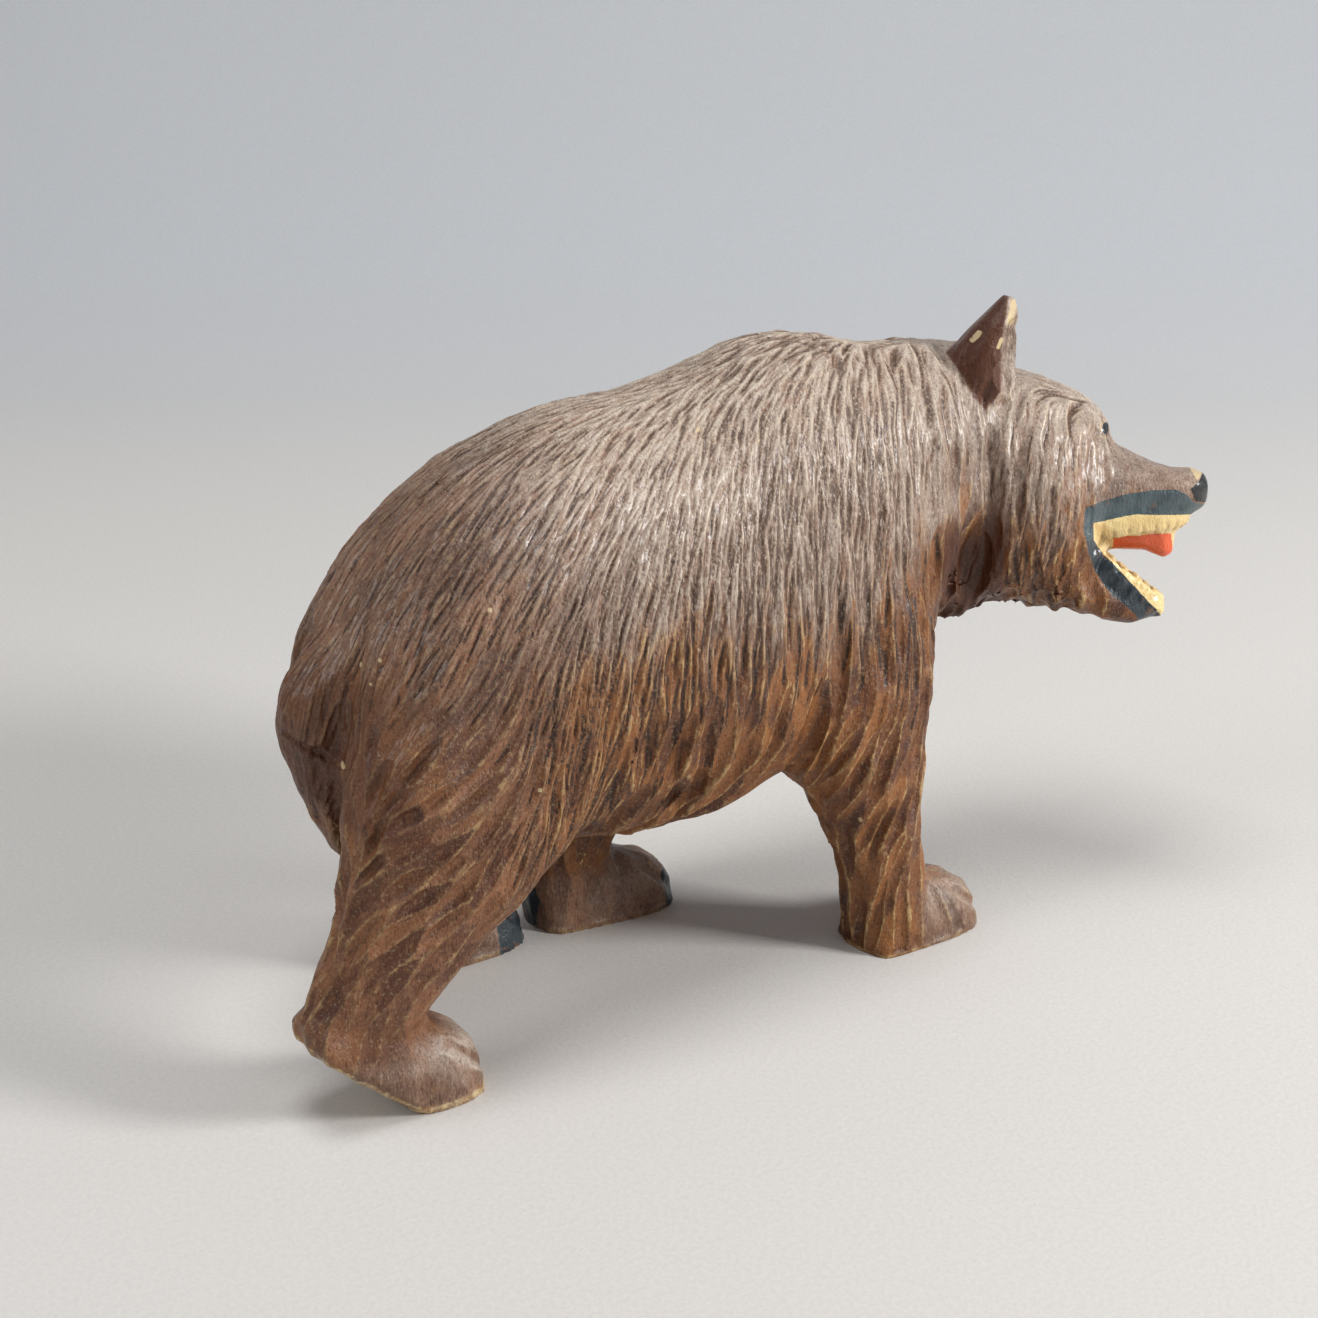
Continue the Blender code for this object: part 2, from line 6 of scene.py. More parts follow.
import bmesh
import bpy
import numpy as np
from mathutils import Euler, Matrix, Vector
from mathutils.kdtree import KDTree

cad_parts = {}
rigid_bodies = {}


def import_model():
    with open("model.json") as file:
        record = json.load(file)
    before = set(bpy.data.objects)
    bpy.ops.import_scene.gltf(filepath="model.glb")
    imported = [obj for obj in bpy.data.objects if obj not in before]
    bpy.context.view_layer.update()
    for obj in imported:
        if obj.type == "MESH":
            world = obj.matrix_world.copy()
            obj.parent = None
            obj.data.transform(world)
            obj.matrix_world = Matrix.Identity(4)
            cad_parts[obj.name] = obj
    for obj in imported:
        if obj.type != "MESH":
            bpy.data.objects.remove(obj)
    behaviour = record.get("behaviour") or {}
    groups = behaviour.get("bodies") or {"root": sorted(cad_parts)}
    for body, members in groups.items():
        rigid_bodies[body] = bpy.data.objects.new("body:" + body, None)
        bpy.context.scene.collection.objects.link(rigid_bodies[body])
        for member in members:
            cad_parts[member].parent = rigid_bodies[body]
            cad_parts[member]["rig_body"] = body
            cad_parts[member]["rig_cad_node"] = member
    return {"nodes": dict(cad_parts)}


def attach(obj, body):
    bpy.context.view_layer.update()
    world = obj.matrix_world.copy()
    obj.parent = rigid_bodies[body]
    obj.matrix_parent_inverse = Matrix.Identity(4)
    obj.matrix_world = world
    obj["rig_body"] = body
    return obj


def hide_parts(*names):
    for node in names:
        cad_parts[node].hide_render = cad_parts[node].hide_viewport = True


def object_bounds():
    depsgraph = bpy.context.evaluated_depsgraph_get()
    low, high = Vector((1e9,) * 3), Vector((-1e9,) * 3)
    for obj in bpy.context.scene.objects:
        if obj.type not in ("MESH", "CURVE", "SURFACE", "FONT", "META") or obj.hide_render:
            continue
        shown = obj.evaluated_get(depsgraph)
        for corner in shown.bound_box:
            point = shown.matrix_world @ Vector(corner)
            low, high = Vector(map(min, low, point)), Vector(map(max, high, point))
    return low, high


bl_info = {
    "name": "Carved wooden bear",
    "version": (1, 0, 0),
    "blender": (4, 5, 0),
    "location": "3D View > Sidebar > Bear",
    "description": "Dresses the solid bear with its carved coat, paint, stain and stage",
    "category": "Object",
}

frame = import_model()
CAD_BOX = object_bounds()

MM = 0.001

# The head: where its own axes stand in the bear, in millimetres and degrees, and how they turn and lean
HEAD_AT = (78.02, -5.75, 99.4)
HEAD_TURN = -42
HEAD_LEAN = -13

# Width, length and depth of cuts that come back: lock and fine cuts, and on smooth skin also the broad one
PAW_CUTS = ((2.4, 5, 0), (1.4, 5, 0))
FORELEG_CUTS = ((3, 9, 0.1), (1.4, 7, 0.07))
THIGH_CUTS = ((2, 8, 0.05), (1.2, 7, 0.1))
SMOOTH = ((4, 8, 0), (2, 5, 0), (1.4, 5, 0))

# The flow of the coat: a place on the right or left side, the way that the hair runs there, then the width,
# length and depth of a broad gouge cut, of a lock and of a fine cut. Both sides of the body have each of them.
BODY_COAT = (
    # hump and back
    ((16, 4, 137), (-1, 0.6, -0.4), (5, 9, 0), (2.4, 6, 0.4), (1.5, 4, 0.4)),
    ((30, 10, 131), (-0.7, 0.6, -0.7), (5, 9, 0.2), (2.8, 7, 0.5), (1.6, 5, 0.35)),
    ((43, 8, 128), (-0.4, 0.7, -0.7), (5, 12, 0.4), (3, 9, 0.5), (1.6, 6, 0.3)),
    ((0, 7, 132), (-1, 0.5, -0.5), (5, 12, 0), (2, 6, 0.35), (1.3, 4.5, 0.4)),
    ((-24, 6, 130), (-1, 0.5, -0.5), (5, 14, 0.2), (1.9, 6, 0.3), (1.2, 4.5, 0.4)),
    ((-47, 5, 127), (-1, 0.35, -0.35), (5, 15, 0.2), (1.8, 6.5, 0.3), (1.1, 5, 0.4)),
    ((-67, 5, 118), (-0.9, 0.3, -0.6), (5, 15, 0.2), (1.7, 9, 0.35), (1.1, 7, 0.35)),
    ((-81, 2, 107), (-0.7, 0.2, -0.8), (5, 15, 0.3), (1.7, 9, 0.3), (1.1, 7, 0.3)),
    ((-90, 5, 95), (-0.5, 0.1, -0.9), (5, 15, 0.4), (1.7, 9, 0.3), (1.1, 7, 0.3)),
    # upper flank and shoulder
    ((-14, 20, 117), (-0.5, 0.2, -1), (5, 16, 0.2), (1.9, 7, 0.35), (1.3, 5, 0.4)),
    ((-38, 20, 117), (-0.8, 0.2, -0.9), (5, 16, 0.2), (1.8, 7.5, 0.35), (1.1, 6, 0.4)),
    ((-60, 19, 113), (-0.9, 0.2, -0.8), (5, 16, 0.3), (1.7, 10, 0.4), (1.1, 8, 0.35)),
    ((-77, 17, 103), (-0.8, 0.2, -0.8), (5, 16, 0.3), (1.7, 10, 0.35), (1.1, 8, 0.35)),
    ((-87, 12, 95), (-0.6, 0.1, -0.9), (5, 16, 0.4), (1.7, 10, 0.3), (1.1, 8, 0.35)),
    ((6, 20, 120), (-0.35, 0.2, -1), (5, 16, 0.2), (2, 7, 0.4), (1.3, 5, 0.4)),
    ((22, 20, 117), (-0.2, 0.2, -1), (5, 16, 0.3), (2.3, 9, 0.5), (1.4, 6, 0.4)),
    ((32, 22, 109), (-0.15, 0.2, -1), (5, 16, 0.3), (3, 11, 0.45), (1.6, 8, 0.35)),
    ((42, 16, 117), (-0.15, 0.2, -1), (5, 18, 0.5), (3, 12, 0.4), (1.6, 8, 0.3)),
    # flank
    ((-23, 27, 101), (-0.3, 0, -1), (5, 18, 0.3), (1.8, 10, 0.4), (1.2, 7, 0.45)),
    ((-3, 27, 100), (-0.15, 0, -1), (5, 18, 0.3), (2.4, 13, 0.6), (1.4, 9, 0.4)),
    ((19, 26, 95), (-0.05, 0, -1), (5, 18, 0.4), (2.8, 14, 0.55), (1.5, 9, 0.4)),
    ((42, 21, 89), (0, 0, -1), (5, 18, 0.5), (3, 15, 0.45), (1.5, 9, 0.3)),
    ((-43, 28, 95), (-0.5, 0, -1), (5, 18, 0.2), (1.6, 10, 0.4), (1.1, 8, 0.4)),
    ((-60, 26, 99), (-0.6, 0, -0.9), (5, 18, 0.3), (1.7, 12, 0.4), (1.1, 9, 0.4)),
    ((-76, 23, 95), (-0.7, 0, -0.9), (5, 16, 0.4), (1.7, 10, 0.35), (1.1, 8, 0.35)),
    ((-24, 29, 85), (-0.12, 0, -1), (5, 20, 0.4), (2.2, 16, 0.6), (1.3, 11, 0.45)),
    ((-39, 29, 80), (-0.1, 0, -1), (5, 20, 0.3), (1.7, 16, 0.5), (1.1, 13, 0.5)),
    ((-51, 29, 80), (-0.25, 0, -1), (5, 20, 0.3), (1.6, 16, 0.5), (1.1, 13, 0.5)),
    ((-14, 29, 76), (-0.1, 0, -1), (5.2, 20, 0.8), (2.6, 16, 0.6), (1.4, 10, 0.35)),
    ((2, 27, 77), (-0.05, 0, -1), (5.2, 20, 0.7), (2.8, 16, 0.55), (1.5, 10, 0.35)),
    ((16, 27, 78), (-0.04, 0, -1), (5, 20, 0.6), (3.2, 17, 0.55), (1.6, 9, 0.35)),
    ((32, 27, 75), (-0.05, 0, -1), (4.4, 16, 0.6), (3, 14, 0.45), (1.5, 9, 0.3)),
    ((-58, 29, 74), (-0.15, 0, -1), (5, 20, 0.3), (1.7, 17, 0.5), (1.1, 13, 0.5)),
    ((-50, 27, 58), (-0.1, 0, -1), (5, 20, 0.3), (1.7, 17, 0.55), (1.1, 13, 0.5)),
    ((-62, 29, 53), (-0.2, 0, -1), (5, 18, 0.3), (1.7, 16, 0.5), (1.1, 12, 0.45)),
    # flutes low on the belly
    ((-36, 27, 60), (-0.2, 0, -1), (5, 18, 1.1), (2.6, 12, 0.4), (1.4, 9, 0.25)),
    ((-24, 28, 66), (-0.15, 0, -1), (5.2, 18, 1.5), (2.8, 12, 0.35), (1.5, 9, 0.2)),
    ((-28, 24, 50), (-0.3, -0.1, -1), (5, 15, 1.8), (2.6, 12, 0.2), (1.4, 9, 0.1)),
    ((-13, 28, 65), (-0.1, 0, -1), (5.4, 18, 1.7), (3, 12, 0.25), (1.6, 9, 0.15)),
    ((-15, 24, 52), (-0.15, -0.1, -1), (5.4, 15, 2.1), (3, 12, 0.1), (1.6, 9, 0.1)),
    ((0, 26, 60), (-0.1, -0.1, -1), (5.2, 15, 1.9), (3, 12, 0.15), (1.6, 9, 0.1)),
    ((-9, 4, 36), (-1, 0, 0), (6, 14, 0.8), (2.4, 10, 0.1), (1.6, 9, 0.1)),
    # rump, thigh and hind leg
    ((-93, 9, 75), (-0.3, 0.1, -1), (5, 14, 0.6), (2, 9, 0.3), (1.2, 8, 0.3)),
    ((-102, 2, 75), (-0.2, 0, -1), (5, 14, 0.6), (2.2, 9, 0.3), (1.2, 8, 0.25)),
    ((-78, 8, 56), (-0.2, 0, -1), (6, 14, 0.6), (2.4, 10, 0.2), (1.4, 9, 0.2)),
    ((-70, 27, 85), (-0.5, 0, -0.9), (4.5, 14, 0.5), (1.7, 9, 0.3), (1.1, 8, 0.35)),
    ((-82, 24, 82), (-1, 0, -0.6), (4.4, 11, 0.8), (1.8, 8, 0.2), (1.1, 7, 0.25)),
    ((-72, 29, 66), (-0.9, 0, -0.6), (4.6, 11, 1), (2, 9, 0.15), (1.2, 8, 0.2)),
    ((-84, 28, 67), (-1, 0, -0.3), (4.4, 10, 1.3), *THIGH_CUTS),
    ((-95, 20, 67), (-0.8, 0.4, -0.4), (4.4, 10, 1.1), *THIGH_CUTS),
    ((-89, 28, 52), (-1, 0, -0.3), (4.4, 10, 1.3), *THIGH_CUTS),
    ((-74, 31, 48), (-0.5, 0, -0.9), (4.8, 14, 1), (2, 10, 0.25), (1.2, 8, 0.15)),
    ((-98, 27, 40), (-1, 0, -0.4), (4.6, 10, 1.2), *THIGH_CUTS),
    ((-82, 30, 38), (-0.9, 0, -0.5), (4.6, 11, 1.1), *THIGH_CUTS),
    ((-104, 25, 31), (-0.6, 0, -0.9), (4.4, 10, 0.7), (2, 8, 0.1), (1.2, 8, 0.1)),
    ((-54, 28, 35), (-0.6, 0, -0.8), (4.6, 12, 1), (2, 10, 0.1), (1.2, 8, 0.1)),
    ((-96, 28, 16), (-0.2, 0, -1), (5, 9, 0.4), *PAW_CUTS),
    ((-84, 27, 10), (0.3, 0, -1), (5, 8, 0.12), *PAW_CUTS),
    ((-109, 26, 20), (-0.2, 0, -1), (5, 8, 0.4), *PAW_CUTS),
    ((-54, 26, 10), (0, 0, -1), (5, 8, 0.2), *PAW_CUTS),
    # forelegs
    ((5, 25, 61), (-0.3, -0.1, -1), (5, 16, 1.4), *FORELEG_CUTS),
    ((11, 28, 52), (-0.6, 0, -0.8), (5, 13, 1.3), *FORELEG_CUTS),
    ((22, 30, 50), (-0.6, 0, -0.8), (5, 13, 1.3), *FORELEG_CUTS),
    ((35, 28, 55), (-0.1, 0, -1), (4.4, 14, 0.8), (2.6, 12, 0.4), (1.4, 9, 0.15)),
    ((19, 28, 35), (-0.5, 0, -0.9), (4.6, 13, 1.2), *FORELEG_CUTS),
    ((31, 30, 33), (-0.3, 0, -1), (4.6, 13, 1.1), *FORELEG_CUTS),
    ((23, 26, 13), (-0.15, 0, -1), (4.6, 14, 1.1), *FORELEG_CUTS),
    ((31, 30, 13), (-0.2, 0, -1), (4.4, 14, 0.9), *FORELEG_CUTS),
    ((44, 28, 10), (0.3, 0, -1), (4.4, 8, 0.12), *PAW_CUTS),
    ((-9, 24, 32), (-0.4, 0, -0.9), (5, 13, 1.1), *FORELEG_CUTS),
    ((-14, 26, 10), (0, 0, -1), (5, 8, 0.2), *PAW_CUTS),
    # neck and chest
    ((58, 12, 113), (0, 0.1, -1), (5.4, 24, 1), (2.8, 14, 0.15), (1.6, 9, 0.12)),
    ((49, 20, 94), (0, 0, -1), (5.4, 24, 1), (2.8, 14, 0.15), (1.6, 9, 0.1)),
    ((57, 16, 88), (0, 0, -1), (5.4, 24, 1.2), (2.8, 14, 0.1), (1.6, 9, 0.04)),
    ((56, 13, 75), (0, 0, -1), (4.8, 20, 1.6), (2.8, 14, 0), (1.6, 9, 0.03)),
    ((64, 6, 68), (-0.2, -0.5, -0.9), (6, 14, 1.6), (2.8, 10, 0.1), (1.6, 9, 0)),
)
# The same for the head, in its own axes
HEAD_COAT = (
    ((8, 5, 21), (-1, 0.1, 0.3), (3.4, 8, 0.3), (2.2, 6, 0.3), (1.4, 5, 0.15)),
    ((-3, 20, 8), (0, 0, -1), (3.6, 16, 0.7), (2.2, 10, 0.3), (1.3, 6, 0.15)),
    ((6, 19, 6), (-0.05, 0, -1), (3.4, 14, 0.7), (2.2, 10, 0.35), (1.3, 6, 0.2)),
    ((11, 18, -10), (-0.05, 0, -1), (3.2, 13, 0.7), (2, 10, 0.4), (1.3, 7, 0.25)),
    ((3, 17, -19), (0, 0, -1), (3.4, 13, 0.8), (2, 10, 0.4), (1.3, 7, 0.25)),
    ((14, 13, 10), (-0.15, 0, -1), (3, 10, 0.5), (2, 8, 0.4), (1.3, 6, 0.2)),
    ((12, 12, -26), (-0.1, -0.2, -1), (3.4, 12, 1), (2, 9, 0.5), (1.3, 6, 0.25)),
    ((2, 12, -28), (0, -0.3, -1), (4, 12, 1.3), (2.4, 9, 0.4), (1.4, 6, 0.2)),
    ((18, 12, 0), (-0.2, 0, -1), (2.8, 9, 0.25), (1.8, 7, 0.3), (1.3, 5, 0.15)),
    ((25, 10, -3), (0, 0, -1), *SMOOTH),
    ((38, 6, -4), (0, 0, -1), *SMOOTH),
    ((24, 9, -26), (0, 0, -1), *SMOOTH),
    ((30, 5, -16), (0, 0, -1), *SMOOTH),
    ((18, 8, -17), (0, 0, -1), *SMOOTH),
    ((-4, 17, 32), (0, 0, -1), *SMOOTH),
    ((-7, 15, 24), (0, 0, -1), *SMOOTH),
)
LOOK_AT = (-5.98, 13.25, 65.0)  # the middle of the picture

# Outlines of the paint, seen from the side in the head's axes, and how far the view is slanted: forward and up
# with each millimetre out from the middle, and up with each millimetre forward
SLANT = (0.137, 0.155, 0.053)
PAINT_EDGE = 0.25  # how soft the edge of the paint is
MOUTH = ((17.4, -13.4), (21.4, -12.5), (28.5, -10.9), (35, -9.8), (41.1, -9.3), (48, -9), (48, -42), (34.5, -33),
         (32.3, -31.3), (26.3, -25.6), (21.9, -21.2), (17.8, -17.2))
LIPS = ((15.0, -10.1), (19.5, -8.3), (25, -6.7), (31, -5.9), (36.2, -5.7), (38.9, -7.0), (40.6, -8.5), (48, -8.9),
        (48, -42), (37, -42), (29, -33.9), (22.6, -29.0), (19.0, -24.3), (16.6, -19.9), (15.0, -15))
TONGUE = ((23, -15.6), (36.5, -15.4), (38, -20.5), (24, -20.5))
# The corner of the mouth, darkened with painted shade
MOUTH_CORNER = ((16.8, -13.0), (20.5, -13.4), (23, -15.5), (22.3, -18.2), (19.3, -17.8))
NOSE_FRONT = ((39.4, -5.6), (41.6, -3.6), (43.0, -1.2), (48, -0.4), (48, -8.3), (41.0, -8.3), (40.2, -6.8))
NOSE_TOP = ((39.9, -1.0), (39.9, 4), (48, 4), (48, -0.2), (43.1, -1.0), (41.7, -3.4), (40.6, -3.7))
EAR_BACK = ((-15.5, 26.3), (-2.4, 40.5), (-3.6, 28.2), (-3.1, 18.3), (-6.2, 14.0), (-9.3, 17.3), (-11.2, 21))
EAR_FRONT = ((-2.4, 40.5), (3.5, 37), (3.5, 22), (-2.2, 18.3), (-3.1, 18.3), (-3.6, 28.2))
EAR_CHIPS = (((-9.9, 29.3), (-8.4, 30.9), 0.9), ((-1.2, 37.6), (-1.8, 33.5), 1.2), ((-4.2, 27.8), (-3.6, 29.5), 0.7))
EYE = (20.4, 8.6)
EYE_HALF = (1.15, 1.4)
EYE_LEAN = 0.4
EYES_WITHIN = 12  # from the middle of the head
EARS_BEYOND = 6

# The front of each left paw is painted: where the paint starts, and how high it goes
PAINTED_PAWS = ((-2.0, 9.0), (-46.0, 12.0))
CLAW_REACH = 14
LEFT_OF = 8.0  # from here out from the middle are the legs

# The right hind paw is raised at the heel: how far forward and up it goes, and the line of its sole as a place
# in X and Z and a slope
RAISED_PAW = (-66, 27)
RAISED_SOLE = (-90, -1.8, -0.858)
BEHIND_FORE_PAW = 20  # dust lies on paws from here back, and more of it from the next place back
BEHIND_LEFT_HIND_PAW = -60

# How the wear and paint fade in: where there is none yet and where it is full. In millimetres, forward and up
# in the bear's axes, or in the head's where the name begins with head, unless a line says otherwise.
FADES = {
    "head": (-16, -13), "above_chest": (62, 64), "above_neck_end": (60, 66), "head_mouth": (17, 18),
    "head_under_lip": (-8, -9), "head_lower_jaw": (-13, -17), "head_tongue_side": (6.5, 5.5),
    "head_neck_front": (0.5, -1), "head_face": (-30, -18), "head_cheek": (14, 4), "head_muzzle": (16, 30),
    # in shares of the eye's half size
    "eye": (1.15, 0.9), "rim_inner": (1.2, 1.5), "rim_outer": (2.1, 1.7),
    # forward from the middle of the eye, then on the paws, the neck, the tail and the flank
    "behind_eye": (0.3, -0.6),
    "sole_edge": (1.3, 0), "raised_sole_edge": (2.9, 1.5), "paw_top": (17, 11), "right_fore_toes": (33, 38),
    "neck_low": (97, 86), "tail_back": (-86, -93), "tail_end": (56, 62), "tail_root": (94, 84),
    # on the flank the dusty varnish and its painted sheen fade out towards the rump
    "shoulder": (-20, 10), "rump": (-30, -60), "dust_front": (-70, -22), "warm_front": (-72, -44),
    # how far the skin stands out, over a few points and over many
    "crest": (0.015, 0.09), "groove": (-0.03, -0.15), "hollow": (-0.05, -0.7), "raised": (0.08, 0.4),
    "open_skin": (-0.35, -0.08),
    # parts of a normal
    "faces_outward": (-0.35, -0.05), "upright": (-0.9, -0.2), "faces_up": (0, 0.6),
    # what is eased, what is cut and how deep a cut gathers stain and painted shade
    "head_eased": (-14, -22), "eased_above_floor": (0.2, 3), "eased_above_paws": (14, 34), "cut_above_floor": (0.3, 5),
    "deep_cut": (0.08, 0.35),
}
NEAR_ROUNDS = 3  # rounds of easing that show how far the skin stands out over a few points
WIDE_ROUNDS = 12

# Noise in the wood, its scale, detail and roughness: clouds, blotches, flecks and specks, then the pores, which
# run up and down. The varnish shines most between these heights, in metres.
NOISES = ((45, 4, 0.6), (160, 4, 0.6), (480, 3, 0.65), (1500, 2, 0.7))
PORE_NOISE = (2400, 2, 0.6)
PORE_STRETCH = (1, 1, 0.22)
SHEEN_FROM = (0.058, 0.08)
SHEEN_TO = (0.128, 0.11)

# Heights of the line between dusty varnish with painted sheen and warm stain: on the face, on the flank, what it
# falls by on the shoulder and the rump, how far it strays from cut to cut, and how far it is drawn out above and below
DUST_AND_SHEEN_LINE = {"face": 94, "flank": 88, "shoulder": -5, "rump": -3, "strays": 16, "dull": (-12, 12), "warm": (10, -4)}

# Rows of teeth in the head's axes: the corner of the mouth in X and Z, how far the row reaches forward and to
# each side, its slope in degrees, how far a notch goes below and above it, how many notches, their width and depth
TOOTH_ROWS = (
    ((18.0, -14.4), 22.0, 8.6, -11, (-3.0, 1.0), 19, 1.1, 0.4),
    ((15.5, -15.6), 20.0, 7.8, 35, (-1.5, 3.0), 13, 1.9, 0.6),
)
TEETH_TURN = 84  # degrees from the middle of the row to its ends
# Single cuts: scallops along the hem of the cheeks in the head's axes, then breaks on the hump, the line across
# the tail and chips on the back in the bear's, each with its start, its end, its width and its depth
HEM_CUTS = tuple(((x, side * 14, -22), (x, side, -36), 4.6, depth)
                 for x, depth in ((8.5, 1.3), (14.5, 1.4), (20.0, 1.0)) for side in (-1, 1))
BODY_CUTS = (
    ((25, -12, 133), (25, 8, 135), 3.0, 0.7),
    ((18, -1, 139), (22, -5, 136), 2.0, 0.4),
    ((30, -4, 134), (33, -9, 131), 2.4, 0.5),
    ((-103, 2, 76), (-94, -12, 67.5), 1.8, 0.8),
    ((-16, -13, 126), (-12, -15, 124.5), 2.2, 0.25),
    ((-9, -15, 125.5), (-5, -17, 123.5), 2.2, 0.3),
)
# Small chips and specks of a pale tone on the body: where, and how wide
SPECKS = (
    ((-14, -13.5, 125.8), 0.9), ((-8, -15.3, 125.2), 0.8), ((-5.5, -16.4, 124.0), 0.9), ((-2, -17.7, 122.6), 0.6),
    ((-88.3, -13.2, 92.2), 0.5), ((-89.7, -8.3, 89.9), 0.6), ((-90.8, -13.5, 87.8), 0.5), ((-91.6, -9.1, 82.8), 0.5),
    ((-94.4, -7.3, 69.5), 0.9), ((-32.0, -18.6, 119.7), 0.7), ((-44.7, -25.3, 105.4), 0.6),
    ((-41.8, -24.5, 107.7), 0.6), ((-56.8, -15.7, 118.3), 0.4), ((-69.3, -22.8, 101.5), 0.4),
    ((-24.4, -28.8, 85.2), 0.4), ((-62.8, -29.2, 64.3), 0.4), ((19.0, -28.3, 35.3), 0.5),
)

# Where the bear is parted into pieces: planes across it, and one behind the ruff in the head's axes
PARTED_AT = (-66.0, -24.0, 14.0)
NECK_AT = (-10.0, 12)  # how far back, in millimetres, and how far it leans, in degrees
BLEND = 8.0  # how far one place of the coat reaches into the next, in millimetres

# How cuts of each kind are laid: room around one as shares of its length and width, how many places are
# tried, its profile, which is a V at 1 and a round gouge at 2, and how much stain and painted shade gather in it
CUT_KINDS = ((0.6, 0.8, 9000, 1.8, 0.0), (0.56, 0.6, 26000, 1.1, 1.0), (0.6, 0.62, 52000, 1.0, 0.88))
SINGLE_PROFILE = 1.5
BLUNT = (0.6, 0.5)  # how soon a cut of the coat and a single cut get deep, less being sooner
SIZE_SPREAD = (0.3, 0.4, 0.5)  # in width, length and depth
WANDER = 8.0  # degrees that a cut may turn away from the flow
SHALLOWEST = 0.06  # a cut less deep than this isn't made, in millimetres
STEP_SHARE = 0.25  # from one mark of a cut to the next, as a share of its width
NEAREST_MARKS = 10
CELL = 4.0  # edge of the cells in which the starts of cuts are sorted, in millimetres
AT_A_TIME = 50000  # points

# The sweep of paper: its front, where it bends up, the bend's radius, its top and its half width, in metres
SWEEP = {"front": -1.6, "bend": 0.45, "radius": 0.7, "top": 2.2, "half_width": 2.5, "steps": 12}
SOFT_BOXES = (
    ("soft_box_right", (1.05, -0.25, 0.52), 0.28, 12.8),
    ("soft_box_left", (-0.9, -0.5, 0.75), 0.4, 2.8),
    ("soft_box_top", (-0.1, -0.12, 1.2), 0.5, 6.0),
)
LIT_AT = (0, 0, 0.06)
ROOM_COLOUR = (0.9, 0.93, 1.0)
ROOM_STRENGTH = 0.23


def share(name, description, default):
    """The property of one share, 1 being all of it."""
    return bpy.props.FloatProperty(name=name, description=description, default=default, min=0)


def colour(name, description, *default):
    """The property of one colour, linear red, green and blue."""
    return bpy.props.FloatVectorProperty(name=name, description=description, subtype="COLOR", default=default)


class BearCoat(bpy.types.PropertyGroup):
    """Sizes of the carved coat"""

    grain: bpy.props.FloatProperty(
        name="Grain", description="Edge length of the carved skin before it is thinned out",
        default=0.0004, min=0.0002, max=0.002, precision=5, unit="LENGTH")
    easing: bpy.props.IntProperty(
        name="Easing", description="Rounds of easing that blend the solid's facets before the cuts", default=24, min=0)
    head_easing: share("Head easing", "Share of the easing that the head gets", 0.2)
    most_triangles: bpy.props.IntProperty(
        name="Triangles", description="Most triangles that one piece keeps", default=190000, min=1000)
    broad_depth: share("Broad cuts", "Share of their full depth that the broad gouge cuts have", 1.3)
    swell: share("Swell", "Share of the depth of the broad cuts by which the skin is raised before them", 0.6)
    lock_depth: share("Locks", "Share of their full depth that the cuts between locks have", 1.0)
    fine_depth: share("Fine cuts", "Share of their full depth that the fine cuts have", 1.0)
    seed: bpy.props.IntProperty(name="Seed", description="Lays the cuts in another order", default=7)


class BearColours(bpy.types.PropertyGroup):
    """Colours of the stain, the wear and the paint"""

    stain: colour("Stain", "Brown stain on the wood", 0.255, 0.114, 0.06)
    stain_deep: colour("Deep stain", "Stain where it is thicker", 0.085, 0.03, 0.016)
    stain_dark: colour("Dark stain", "Stain that has gathered in the cuts", 0.026, 0.011, 0.007)
    stain_warm: colour("Warm stain", "Thinner stain low on the belly and legs", 0.30, 0.116, 0.034)
    # Paler than dust alone: it also paints the sheen of the varnish on the top and flank
    dust_and_sheen: colour("Dull varnish", "Dry, dusty varnish on what faces up", 0.48, 0.395, 0.325)
    # Paler still: painted highlights on the ridges of the dusty varnish, and dust in its pores
    dust_and_highlight: colour("Dull ridges", "Dusty varnish on the ridges", 0.72, 0.62, 0.50)
    # Maroon is clear stain behind the ears and painted shade low on the neck; it also darkens the tail
    maroon: colour("Maroon", "Clear stain behind the ears and low on the neck", 0.085, 0.028, 0.014)
    ochre: colour("Ochre", "Thin stain beside the worn ridges", 0.36, 0.185, 0.06)
    khaki: colour("Khaki", "Dry dirt on the ridges behind and in the pores", 0.30, 0.22, 0.13)
    worn: colour("Worn wood", "Bare wood where edges have rubbed", 0.50, 0.33, 0.15)
    slate: colour("Slate", "Blue-grey paint of the lips", 0.085, 0.115, 0.122)
    slate_dark: colour("Dark slate", "Paint of the lips where it is thick", 0.018, 0.026, 0.033)
    cream: colour("Cream", "Paint of the teeth and the inside of the mouth", 0.88, 0.68, 0.32)
    # Yellowed cream in blotches, and painted shade in the cuts and hollows of the mouth
    cream_dark: colour("Yellowed cream", "Cream paint that has darkened in the hollows", 0.42, 0.22, 0.05)
    cream_worn: colour("Bare edge", "Bare pale wood on the nose, the ears and the soles", 0.62, 0.48, 0.27)
    red: colour("Red", "Paint of the tongue", 0.72, 0.11, 0.03)
    black: colour("Black", "Paint of the nose and eyes", 0.008, 0.009, 0.010)


